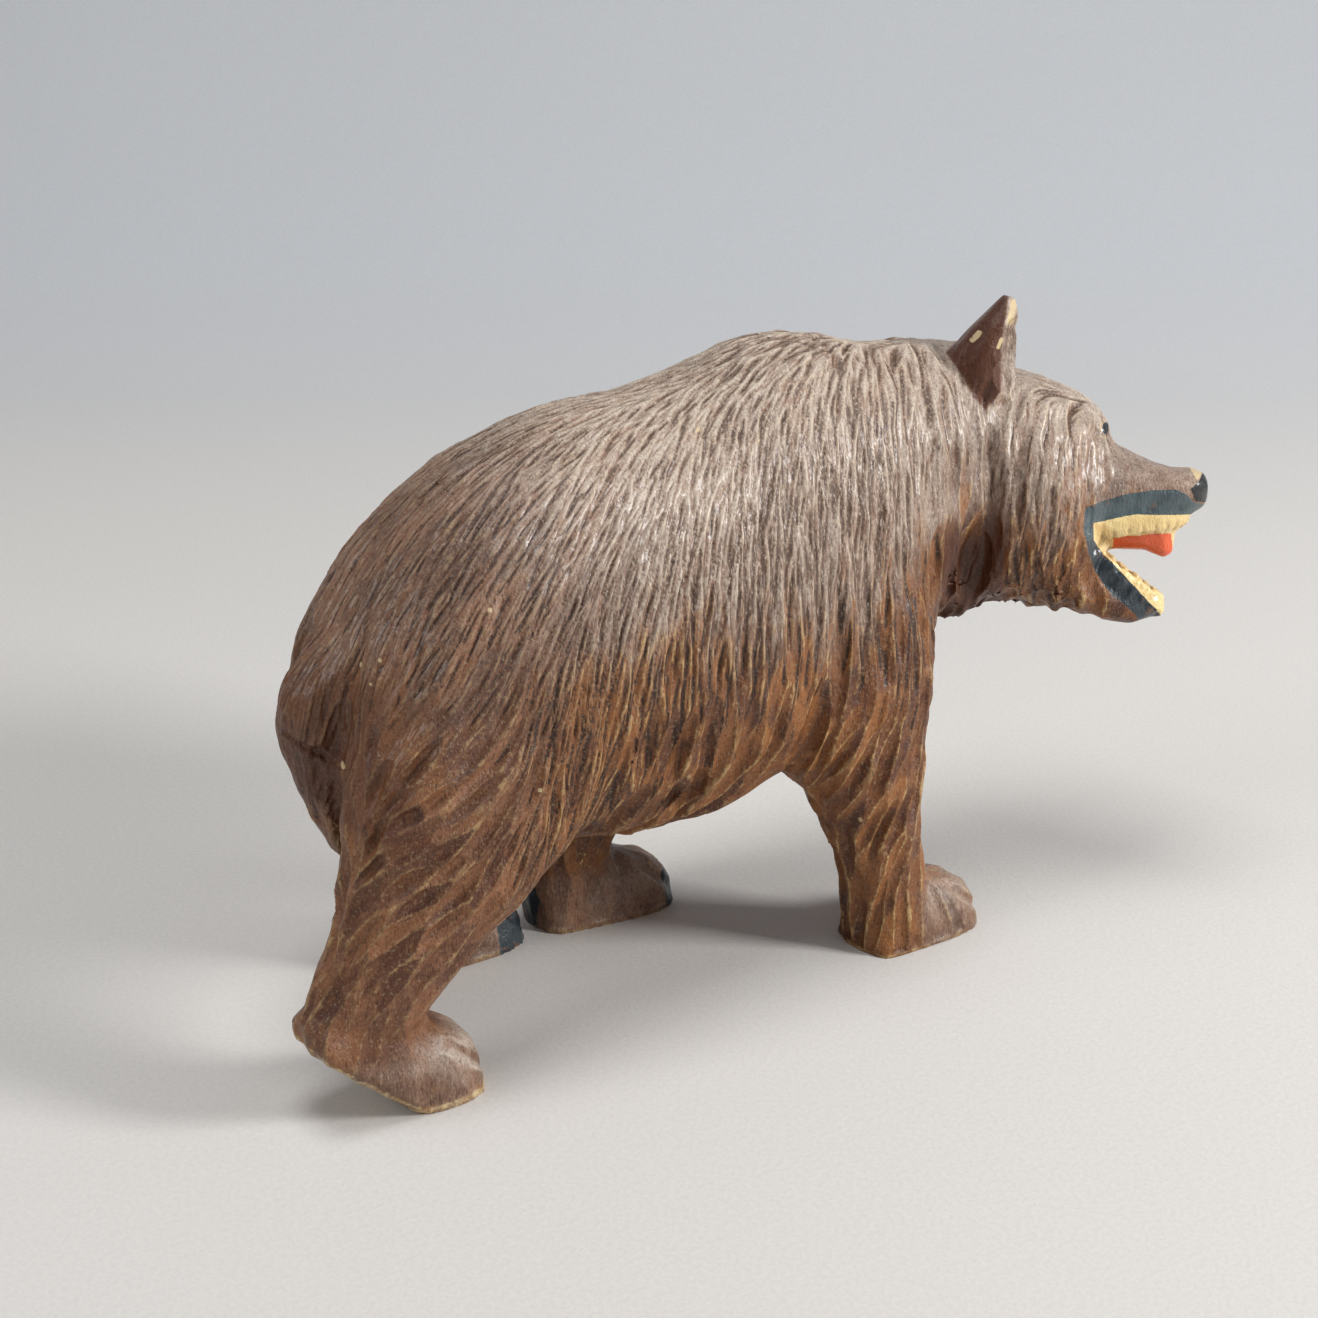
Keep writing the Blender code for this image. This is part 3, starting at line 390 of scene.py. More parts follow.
class BearStage(bpy.types.PropertyGroup):
    """Floor, backdrop, lights and camera"""

    floor: colour("Floor", "Colour of the paper floor", 0.68, 0.655, 0.62)
    backdrop: colour("Backdrop", "Colour of the paper behind", 0.64, 0.655, 0.675)
    azimuth: bpy.props.FloatProperty(
        name="Azimuth", description="The camera's turn about the bear, in degrees", default=-34)
    elevation: bpy.props.FloatProperty(
        name="Elevation", description="The camera's height above the horizon, in degrees", default=22)
    distance: bpy.props.FloatProperty(
        name="Distance", description="From the camera to the point that it looks at", default=0.533, unit="LENGTH")
    lens: bpy.props.FloatProperty(name="Lens", description="Focal length in millimetres", default=65.55)


BODY = Matrix.Identity(4)
HEAD = Matrix.Translation(HEAD_AT) @ Euler((math.radians(HEAD_LEAN), 0, math.radians(HEAD_TURN))).to_matrix().to_4x4()


def in_frame(matrix, points):
    """Points of the bear in a frame's own axes."""
    turned = np.array(matrix.inverted())
    return points @ turned[:3, :3].T + turned[:3, 3]


def unit(rows):
    """Rows of vectors, each made one long."""
    return rows / np.maximum(np.linalg.norm(rows, axis=-1, keepdims=True), 1e-9)


def smoothstep(low, high, value):
    """0 at low and 1 at high, smooth between."""
    t = np.clip((value - low) / (high - low), 0, 1)
    return t * t * (3 - 2 * t)


def fade(name, value):
    """How far a value is through one of the named fades."""
    return smoothstep(*FADES[name], value)


def within(outline, x, z):
    """How far each point is inside an outline, and outside where less than 0."""
    corners = np.array(outline, float)
    nearest = np.full(len(x), 1e9)
    inside = np.zeros(len(x), bool)
    for (ax, az), (bx, bz) in zip(corners, np.roll(corners, -1, 0)):
        dx, dz = bx - ax, bz - az
        t = np.clip(((x - ax) * dx + (z - az) * dz) / (dx * dx + dz * dz), 0, 1)
        nearest = np.minimum(nearest, np.hypot(x - ax - t * dx, z - az - t * dz))
        if dz:
            inside ^= ((az > z) != (bz > z)) & (x < ax + dx * (z - az) / dz)
    return np.where(inside, nearest, -nearest)


def filled(outline, x, z, outer=PAINT_EDGE, inner=PAINT_EDGE):
    """1 inside an outline and 0 outside, fading from this far outside its edge to this far inside."""
    return smoothstep(-outer, inner, within(outline, x, z))


def select_only(obj):
    """Makes one object the selected and active one."""
    bpy.ops.object.select_all(action="DESELECT")
    obj.select_set(True)
    bpy.context.view_layer.objects.active = obj


def apply_modifier(obj, kind, **settings):
    """One modifier, added with its settings and applied."""
    select_only(obj)
    bpy.ops.object.modifier_add(type=kind)
    modifier = obj.modifiers[-1]
    for name, value in settings.items():
        setattr(modifier, name, value)
    bpy.ops.object.modifier_apply(modifier=modifier.name)


class Skin:
    """The points of a fine mesh in millimetres, with what the cuts need to know of them."""

    def __init__(self, mesh):
        self.mesh = mesh
        self.count = len(mesh.vertices)
        self.points = self.read("co") / MM
        edges = np.empty(2 * len(mesh.edges), np.int32)
        mesh.edges.foreach_get("vertices", edges)
        self.edges = edges.reshape(-1, 2)
        self.shares = np.maximum(np.bincount(self.edges.ravel(), minlength=self.count), 1)

    def read(self, what):
        values = np.empty(3 * self.count, np.float32)
        self.mesh.vertices.foreach_get(what, values)
        return values.reshape(-1, 3).astype(float)

    def mean(self, values):
        """For each point, the mean of a value over its neighbours."""
        a, b = self.edges.T
        total = np.bincount(a, values[b], self.count) + np.bincount(b, values[a], self.count)
        return total / self.shares

    def mean_points(self, points):
        return np.stack([self.mean(points[:, k]) for k in range(3)], 1)

    def ease(self, rounds, share):
        """Moves each point to the middle of its neighbours, by its own share, again and again."""
        for _ in range(rounds):
            self.points += share[:, None] * (self.mean_points(self.points) - self.points)

    def write(self):
        self.mesh.vertices.foreach_set("co", (self.points * MM).ravel())
        self.mesh.update()

    def settle(self):
        """Writes the points and takes up their new normals."""
        self.write()
        self.normals = unit(self.read("normal"))
        self.tree = KDTree(self.count)
        for k, point in enumerate(self.points):
            self.tree.insert(point, k)
        self.tree.balance()

    def crest(self, rounds):
        """How far each point stands out of the skin around it, in millimetres."""
        around = self.points
        for _ in range(rounds):
            around = self.mean_points(around)
        return ((self.points - around) * self.normals).sum(1)


def coat_places():
    """Every place of the coat as rows: where, the way of the hair, then the sizes of each kind of cut."""
    rows = []
    for axes, coat in ((BODY, BODY_COAT), (HEAD, HEAD_COAT)):
        turn = axes.to_3x3()
        for (x, y, z), (along, out, up), *sizes in coat:
            for side in (1, -1):
                where = axes @ Vector((x, side * y, z))
                way = turn @ Vector((along, side * out, up)).normalized()
                rows.append((*where, *way, *np.ravel(sizes)))
    return np.array(rows)


def coat_at(points):
    """For each point, the way of the hair, then the width, length and depth of each kind of cut."""
    places = coat_places().astype(np.float32)
    points = points.astype(np.float32)
    found = np.empty((len(points), places.shape[1] - 3))
    squares = (places[:, :3] ** 2).sum(1)
    for k in range(0, len(points), AT_A_TIME):
        part = points[k:k + AT_A_TIME]
        apart = squares - 2 * part @ places[:, :3].T
        share = np.exp((apart.min(1, keepdims=True) - apart) / (2 * BLEND**2))
        found[k:k + AT_A_TIME] = share / share.sum(1, keepdims=True) @ places[:, 3:]
    return found


def along_skin(way, normals):
    """The way of the hair, laid flat on the skin."""
    return unit(way - normals * (way * normals).sum(1, keepdims=True))


def scattered(skin, way, sizes, room_along, room_across, tries, seed):
    """Points for cuts to start from, with room around each along and across the hair."""
    rng = np.random.default_rng(seed)
    deep = np.flatnonzero(sizes[:, 2] > SHALLOWEST)
    order = rng.permutation(deep)[:tries]
    cells = {}
    chosen = []
    keys = np.floor(skin.points[order] / CELL).astype(int)
    for k, key in zip(order, map(tuple, keys)):
        here, along = skin.points[k], way[k]
        long, wide = room_along * sizes[k, 1], room_across * sizes[k, 0]
        reach = int(math.ceil(long / CELL))
        clear = True
        near = []
        for dx in range(-reach, reach + 1):
            for dy in range(-reach, reach + 1):
                for dz in range(-reach, reach + 1):
                    near += cells.get((key[0] + dx, key[1] + dy, key[2] + dz), ())
        if near:
            gap = skin.points[near] - here
            forward = gap @ along
            across = np.sqrt(np.maximum((gap**2).sum(1) - forward**2, 0))
            clear = not ((forward / long) ** 2 + (across / wide) ** 2 < 1).any()
        if clear:
            chosen.append(k)
            cells.setdefault(key, []).append(k)
    return np.array(chosen)


def marks_of(skin, way, sizes, starts, seed):
    """The line of every cut as rows of marks: where, the way it goes, its width, its depth there and its tone."""
    rng = np.random.default_rng(seed)
    spread = 1 + SIZE_SPREAD * rng.uniform(-1, 1, (len(starts), 3))
    width, length, depth = (sizes[starts] * spread).T
    wander = np.radians(WANDER) * rng.uniform(-1, 1, len(starts))
    tone = rng.uniform(0, 1, len(starts))
    step = STEP_SHARE * width
    count = np.maximum(3, np.round(length / step)).astype(int)
    spot = skin.points[starts] - way[starts] * (length / 2)[:, None]
    rows = []
    live = np.arange(len(starts))
    for k in range(int(count.max()) + 1):
        live = live[k <= count[live]]
        near = np.array([skin.tree.find(p)[1] for p in spot[live]])
        normal = skin.normals[near]
        spot[live] -= normal * ((spot[live] - skin.points[near]) * normal).sum(1, keepdims=True)
        side = np.cross(normal, way[near])
        along = way[near] * np.cos(wander[live])[:, None] + side * np.sin(wander[live])[:, None]
        share = (k + 0.5) / (count[live] + 1)
        deep = depth[live] * np.sin(np.pi * share) ** BLUNT[0]
        rows.append(np.column_stack([spot[live], along, width[live], deep, tone[live]]))
        spot[live] += along * step[live][:, None]
    return np.vstack(rows)


def line_marks(skin, start, end, width, depth):
    """The marks of one straight cut, laid on the skin from start to end."""
    start, end = Vector(start), Vector(end)
    along = (end - start).normalized()
    count = max(3, round((end - start).length / (STEP_SHARE * width)))
    rows = []
    for k in range(count + 1):
        near = skin.points[skin.tree.find(start.lerp(end, k / count))[1]]
        deep = depth * math.sin(math.pi * (k + 0.5) / (count + 1)) ** BLUNT[1]
        rows.append((*near, *along, width, deep, 0.5))
    return rows


def single_marks(skin):
    """Marks of the notches between the teeth of both rows, the scallops of the cheeks and the other single cuts."""
    rows = []
    for (x, z), reach, half, slope, (below, above), notches, width, depth in TOOTH_ROWS:
        tilt = math.radians(slope)
        across = Vector((math.sin(tilt), 0, math.cos(tilt)))
        for k in range(notches):
            angle = math.radians(-TEETH_TURN + 2 * TEETH_TURN * k / (notches - 1))
            forward = reach * math.cos(angle)
            root = Vector((x + forward * math.cos(tilt), half * math.sin(angle), z - forward * math.sin(tilt)))
            rows += line_marks(skin, HEAD @ (root + across * below), HEAD @ (root + across * above), width, depth)
    for start, end, width, depth in HEM_CUTS:
        rows += line_marks(skin, HEAD @ Vector(start), HEAD @ Vector(end), width, depth)
    for start, end, width, depth in BODY_CUTS:
        rows += line_marks(skin, start, end, width, depth)
    return np.array(rows)


def cut_by(skin, marks, reached, profile):
    """How deep the marks cut each point, as a V at profile 1 and round at 2, how near it is to the middle of a cut,
    and the tone of the deepest cut."""
    tree = KDTree(len(marks))
    for k, mark in enumerate(marks):
        tree.insert(mark[:3], k)
    tree.balance()
    points, normals = skin.points[reached], skin.normals[reached]
    near = np.array([[found[1] for found in tree.find_n(point, NEAREST_MARKS)] for point in points])
    cut = np.zeros(len(reached))
    middle = np.zeros(len(reached))
    tone = np.full(len(reached), 0.5)
    for column in near.T:
        mark = marks[column]
        gap = points - mark[:, :3]
        forward = (gap * mark[:, 3:6]).sum(1)
        rise = (gap * normals).sum(1)
        across = np.sqrt(np.maximum((gap**2).sum(1) - forward**2 - rise**2, 0))
        hollow = 1 - (2 * across / mark[:, 6]) ** profile - (forward / mark[:, 6]) ** 2
        tone = np.where(mark[:, 7] * hollow > cut, mark[:, 8], tone)
        cut = np.maximum(cut, mark[:, 7] * hollow)
        middle = np.maximum(middle, hollow * fade("deep_cut", mark[:, 7]))
    found = np.zeros((3, skin.count))
    found[2] = 0.5
    found[:, reached] = cut, middle, tone
    return found


class Nodes:
    """A material's nodes, made one by one."""

    def __init__(self, name):
        self.material = bpy.data.materials.new(name)
        self.material.use_nodes = True
        self.tree = self.material.node_tree
        self.tree.nodes.clear()

    def add(self, kind, settings=None, **values):
        """A node of this type with its settings and its sockets set or linked; _0 is the first socket."""
        node = self.tree.nodes.new("ShaderNode" + kind)
        for name, value in (settings or {}).items():
            setattr(node, name, value)
        for name, value in values.items():
            key = int(name[1:]) if name[0] == "_" else name.replace("_", " ")
            socket = node.inputs[key]
            if isinstance(value, Wire):
                self.tree.links.new(value.socket, socket)
            else:
                socket.default_value = value
        return node

    def out(self, kind, output=0, settings=None, **values):
        """One output of a new node."""
        node = self.add(kind, settings, **values)
        return Wire(self, node.outputs[output])

    def mix(self, factor, a, b):
        """A mix of two colours."""
        node = self.add("Mix", {"data_type": "RGBA"})
        for index, value in ((0, factor), (6, a), (7, b)):
            if isinstance(value, Wire):
                self.tree.links.new(value.socket, node.inputs[index])
            elif index:
                node.inputs[index].default_value = (*value[:3], 1)
            else:
                node.inputs[index].default_value = value
        return Wire(self, node.outputs[2])

    def laid(self, base, *layers):
        """Colours laid over the first one in turn, each by its share."""
        for share, tint in layers:
            base = self.mix(share, base, tint)
        return base

    def noise(self, where, scale, detail, rough):
        """Soft noise from 0 to 1."""
        return self.out("TexNoise", 0, Vector=where, Scale=scale, Detail=detail, Roughness=rough)

    def step(self, value, low, high):
        """0 below low and 1 above high, smooth between."""
        return self.out("MapRange", 0, {"interpolation_type": "SMOOTHSTEP"}, Value=value, From_Min=low,
                        From_Max=high)


def summing(operation, swapped=False):
    """A method that puts one sum of two values into the material."""
    def method(self, other):
        first, second = (other, self) if swapped else (self, other)
        return self.nodes.out("Math", 0, {"operation": operation}, _0=first, _1=second)
    return method


class Wire:
    """One output socket that takes part in sums."""

    __add__, __radd__ = summing("ADD"), summing("ADD", True)
    __sub__, __rsub__ = summing("SUBTRACT"), summing("SUBTRACT", True)
    __mul__, __rmul__ = summing("MULTIPLY"), summing("MULTIPLY", True)

    def __init__(self, nodes, socket):
        self.nodes = nodes
        self.socket = socket

    def clamp(self):
        return self.nodes.out("Math", 0, {"operation": "ADD", "use_clamp": True}, _0=self, _1=0.0)


def rubbed_bare(skin, x, y, z, nose_top, eye, behind_eye, edge):
    """Where the paint and stain are rubbed off: nose, ears, rims of the eyes, soles and specks."""
    bare = 0.9 * nose_top
    for (ax, az), (bx, bz), width in EAR_CHIPS:
        dx, dz = bx - ax, bz - az
        t = np.clip(((x - ax) * dx + (z - az) * dz) / (dx * dx + dz * dz), 0, 1)
        away = np.hypot(x - ax - t * dx, z - az - t * dz)
        bare = np.maximum(bare, 0.8 * smoothstep(1.4 * width, 0.3 * width, away) * (y < 0))
    rim = fade("rim_inner", eye) * fade("rim_outer", eye) * (np.abs(y) < EYES_WITHIN) * behind_eye
    bare = np.maximum.reduce([bare, 0.6 * rim, 0.58 * edge])
    for where, width in SPECKS:
        for _, k, away in skin.tree.find_range(where, width + 0.6):
            bare[k] = max(bare[k], smoothstep(width + 0.4, 0.5 * width, away))
    return bare


def worn_and_painted(skin, grooves, broad_tone, lock_tone):
    """What the stain and paint follow, point by point, three values to a name."""
    x, y, z = in_frame(HEAD, skin.points).T
    wx, wy, wz = skin.points.T
    nz = skin.normals[:, 2]
    on_head = fade("head", x) * fade("above_chest", wz)
    outward = (in_frame(HEAD, skin.points + skin.normals)[:, 1] - y) * np.sign(y)
    px = x - SLANT[0] * np.abs(y)
    pz = z - SLANT[1] * np.abs(y) - SLANT[2] * x

    # paint of the head
    mouth, lips = filled(MOUTH, px, pz), filled(LIPS, px, pz)
    inner = (1 - fade("faces_outward", outward)) * fade("head_mouth", x)
    cream = np.maximum(mouth, lips * inner) * fade("head_under_lip", z)
    slate = lips * (1 - cream)
    lower_lip = fade("head_lower_jaw", z) * lips
    red = filled(TONGUE, px, pz) * fade("head_tongue_side", np.abs(y))
    nose = filled(NOSE_FRONT, px, pz, 0.2, 0.2) * on_head
    eye = np.hypot((px - EYE[0]) / EYE_HALF[0], (pz - EYE[1] - EYE_LEAN * (px - EYE[0])) / EYE_HALF[1])
    black = np.maximum(nose, fade("eye", eye) * (np.abs(y) < EYES_WITHIN))
    nose_top = filled(NOSE_TOP, px, pz, 0.3, 0.6) * on_head
    ear = np.maximum(within(EAR_BACK, x, z), within(EAR_FRONT, x, z))
    ear = smoothstep(-0.6, 0.4, ear) * (np.abs(y) > EARS_BEYOND)
    ear_back = filled(EAR_BACK, x, z, 0.4, 0.4) * (np.abs(y) > EARS_BEYOND)

    # paws
    raised_paw = (wx < RAISED_PAW[0]) & (wz < RAISED_PAW[1]) & (wy < -LEFT_OF)
    sole = np.maximum(0, RAISED_SOLE[1] + RAISED_SOLE[2] * (wx - RAISED_SOLE[0]))
    edge = np.maximum(fade("sole_edge", wz) * fade("upright", -np.abs(nz)),
                      fade("raised_sole_edge", wz - sole) * raised_paw)
    bare = rubbed_bare(skin, x, y, z, nose_top, eye, fade("behind_eye", px - EYE[0]), edge)
    for start, top in PAINTED_PAWS:
        claws = smoothstep(start, start + 1.2, wx) * smoothstep(top, top - 1.5, wz) * (wy > LEFT_OF)
        claws *= wx < start + CLAW_REACH
        slate, lower_lip = np.maximum(slate, claws), np.maximum(lower_lip, claws)

    # how the skin stands out
    standing, wide = skin.crest(NEAR_ROUNDS), skin.crest(WIDE_ROUNDS)
    crest = fade("crest", standing) * (1 - 0.6 * np.maximum.reduce([ear, mouth, slate, nose]))
    groove = np.maximum(0.75 * fade("groove", standing), grooves)
    # painted shade in the broad hollows and in the corner of the mouth
    hollow = np.maximum(fade("hollow", wide), filled(MOUTH_CORNER, px, pz, 0.6, 1.0) * cream)
    raised = np.maximum(fade("raised", wide), edge)

    # clear stain and painted shade, dusty varnish with painted sheen, and warm stain
    neck_top = wz + 10 * (broad_tone - 0.5)
    neck = fade("head", x) * fade("head_neck_front", x) * fade("above_neck_end", wz) * fade("neck_low", neck_top)
    tail = fade("tail_back", wx) * fade("tail_end", wz) * fade("tail_root", wz)
    # maroon: clear stain behind the ears, painted shade low on the neck, and darker on the tail
    maroon = np.maximum.reduce([ear_back, neck, 0.6 * tail])
    face = fade("head_face", x) * fade("above_neck_end", wz)
    low = DUST_AND_SHEEN_LINE["flank"] + DUST_AND_SHEEN_LINE["shoulder"] * fade("shoulder", wx) + DUST_AND_SHEEN_LINE["rump"] * fade("rump", wx)
    low = DUST_AND_SHEEN_LINE["face"] * face + low * (1 - face)
    low += DUST_AND_SHEEN_LINE["strays"] * (0.4 * broad_tone + 0.6 * lock_tone - 0.5)
    dust_and_sheen_from, dust_and_sheen_to = DUST_AND_SHEEN_LINE["dull"]
    warm_from, warm_to = DUST_AND_SHEEN_LINE["warm"]
    # dusty varnish, made paler on the top and flank to paint the sheen of the varnish
    dull = smoothstep(low + dust_and_sheen_from, low + dust_and_sheen_to, wz) * (0.12 + 0.88 * fade("dust_front", wx + 0.3 * (wz - 90)))
    dull *= 1 - on_head * (0.3 * fade("head_cheek", z) + 0.1 * fade("head_muzzle", x))
    on_paw = fade("paw_top", wz) * (fade("right_fore_toes", wx) + (wx < BEHIND_FORE_PAW))
    dusty_paw = on_paw * (0.2 + (0.3 + 0.4 * (wx < BEHIND_LEFT_HIND_PAW)) * fade("faces_up", nz))
    dull = np.maximum(dull, dusty_paw) * (1 - maroon)
    warm = smoothstep(low + warm_from, low + warm_to, wz) * (0.45 + 0.55 * fade("warm_front", wx))
    warm = np.maximum(warm * (1 - 0.7 * on_paw), edge)
    return {
        "carving": np.column_stack([crest, groove, hollow]),
        "wear": np.column_stack([dull, bare, maroon]),
        "paint": np.column_stack([slate, cream, red]),
        "ink": np.column_stack([black, on_head, lower_lip]),
        "tone": np.column_stack([0.6 * broad_tone + 0.4 * lock_tone, warm, raised]),
    }


def stained_and_painted(colours):
    """Brown stain over gouged wood, dark in the cuts with painted shade, dusty with painted sheen and highlights on
    top, rubbed bare on the edges, with the paint.
    """
    n = Nodes("stained_wood")
    where = n.out("TexCoord", "Object")
    normal = n.out("TexCoord", "Normal")

    def marks(name):
        values = n.out("Attribute", "Vector", {"attribute_name": name})
        return [n.out("SeparateXYZ", k, Vector=values) for k in range(3)]

    crest, groove, hollow = marks("carving")
    dull, bare, maroon = marks("wear")
    slate, cream, red = marks("paint")
    black, head, lower_lip = marks("ink")
    tone, warm, raised = marks("tone")
    up = n.out("SeparateXYZ", 2, Vector=normal)
    height = n.out("SeparateXYZ", 2, Vector=where)
    cloud, blotch, fleck, speck = [n.noise(where, *noise) for noise in NOISES]
    along_grain = n.out("Mapping", 0, Vector=where, Scale=PORE_STRETCH)
    pore = n.noise(along_grain, *PORE_NOISE)

    # stain, uneven from cut to cut
    stain = n.mix(n.step(0.7 * tone + (cloud - 0.5), 0.02, 0.68), colours.stain_deep, colours.stain)
    warm_stain = n.mix(n.step(0.7 * tone + 1.1 * (blotch - 0.5), 0.02, 0.68), colours.stain_deep, colours.stain_warm)
    base = n.laid(
        stain,
        (warm * n.step(cloud + 0.4 * (warm - 0.5), 0.3, 0.6), warm_stain),
        (n.step(blotch, 0.48, 0.7) * 0.35, colours.stain_deep),
        (n.step(fleck, 0.5, 0.72) * 0.35, colours.stain_warm),
        (raised * warm * (0.2 + 0.5 * n.step(blotch, 0.42, 0.62)), colours.ochre))

    # dusty varnish and painted sheen on what faces up, dirt and worn ridges, then the clear stain of the ears and
    # painted shade low on the neck
    patch = n.step(blotch + 0.5 * (tone - 0.5), 0.52, 0.66)
    # how much dusty varnish and painted sheen there is, more on what faces up
    dust_and_sheen_cover = dull * (0.55 + 0.45 * n.step(up, -0.2, 0.6)) * (0.5 + 0.5 * n.step(fleck + cloud * 0.6, 0.5, 0.95))
    dust_and_sheen_cover = dust_and_sheen_cover * (0.8 + 0.4 * tone) * (1.0 - 0.35 * patch)
    rubbed = n.step(crest, 0.3, 0.9) * n.step(blotch + 0.5 * cloud, 0.6, 0.9) * n.step(fleck, 0.36, 0.56)
    base = n.laid(
        base,
        # dusty varnish, paler to paint the sheen of the varnish
        (dust_and_sheen_cover.clamp(), colours.dust_and_sheen),
        # painted highlights on the ridges of the dusty varnish
        ((dust_and_sheen_cover * crest * 0.55).clamp(), colours.dust_and_highlight),
        ((crest * 0.5 + 0.1) * n.step(fleck, 0.35, 0.7) * (1.0 - dull) * (1.0 - warm), colours.khaki),
        (rubbed * (0.2 + 0.7 * warm + 0.15 * head).clamp(), colours.worn),
        # maroon: clear stain of the ears, painted shade low on the neck, darker on the tail
        (maroon * 0.92, colours.maroon))

    # stain gathered in the cuts, painted shade in the cuts and hollows, specks and pores
    shade = (n.step(groove, 0.3, 0.9) * 0.45 + hollow * 0.4).clamp() * (1.0 - 0.5 * maroon)
    dark = n.step(groove + 0.4 * (fleck - 0.5), 0.68, 0.92) * (1.0 - 0.6 * maroon) * (1.0 - 0.3 * dull)
    bare_of_paint = 1.0 - 0.8 * cream
    base = n.laid(
        base,
        (shade * bare_of_paint, n.mix(0.45, colours.stain_deep, colours.stain_warm)),
        (dark * bare_of_paint * 0.9, colours.stain_dark),
        (n.step(speck, 0.56, 0.68) * (0.5 - 0.35 * maroon), colours.khaki),
        (n.step(speck, 0.44, 0.3) * 0.45, colours.stain_dark),
        (n.step(pore, 0.44, 0.3) * 0.55, colours.stain_dark),
        (n.step(pore, 0.56, 0.7) * dull * 0.5, colours.dust_and_highlight))

    # paint with frayed edges, and bare wood through all of it
    slate_colour = n.laid(
        colours.slate,
        ((n.step(blotch, 0.35, 0.7) * 0.6 + 0.8 * lower_lip).clamp(), colours.slate_dark),
        (n.step(fleck + 0.25 * crest, 0.62, 0.76) * 0.5, colours.stain_warm))
    cream_colour = n.laid(
        colours.cream,
        (n.step(blotch, 0.35, 0.75) * 0.4, colours.cream_dark),
        # painted shade in the cuts and hollows of the mouth
        ((groove * 0.4 + hollow * 0.6).clamp(), colours.cream_dark))
    base = n.laid(
        base,
        (n.step(slate + 0.35 * (fleck - 0.5), 0.4, 0.6), slate_colour),
        (n.step(cream + 0.3 * (fleck - 0.5), 0.4, 0.6), cream_colour),
        (n.step(red + 0.3 * (fleck - 0.5), 0.4, 0.6), colours.red),
        (n.step(black, 0.35, 0.65), colours.black),
        (n.step(bare + 0.9 * (fleck - 0.5), 0.45, 0.75) * 0.9, colours.cream_worn))

    painted = (slate + cream + red + black).clamp()
    sheen = n.step(height, *SHEEN_FROM) * n.step(height, *SHEEN_TO) * (1.0 - 0.4 * dust_and_sheen_cover)
    rough = (0.26 + 0.34 * blotch + 0.14 * dust_and_sheen_cover - 0.08 * painted).clamp()
    relief = 0.7 * speck + 0.9 * fleck + 0.8 * pore
    bump = n.out("Bump", 0, Strength=0.7, Distance=0.0003, Height=relief)
    shader = n.add("BsdfPrincipled", Base_Color=base, Roughness=rough, Normal=bump, Specular_IOR_Level=0.28,
                   Coat_Weight=(0.08 + 0.4 * sheen * (1.0 - 0.6 * warm) + 0.3 * painted).clamp(), Coat_Roughness=0.24)
    n.add("OutputMaterial", _0=Wire(n, shader.outputs[0]))
    return n.material


def parted(obj, at, normal):
    """Cuts a mesh in two along a plane and closes both; the given one keeps the part behind the plane."""
    select_only(obj)
    bpy.ops.object.duplicate()
    front = bpy.context.view_layer.objects.active
    for half, inner in ((obj, False), (front, True)):
        select_only(half)
        bpy.ops.object.mode_set(mode="EDIT")
        bpy.ops.mesh.select_all(action="SELECT")
        bpy.ops.mesh.bisect(plane_co=at, plane_no=normal, use_fill=True, clear_inner=inner, clear_outer=not inner)
        bpy.ops.mesh.region_to_loop()
        bpy.ops.mesh.mark_sharp()
        bpy.ops.object.vertex_group_assign()
        bpy.ops.object.mode_set(mode="OBJECT")
    return front


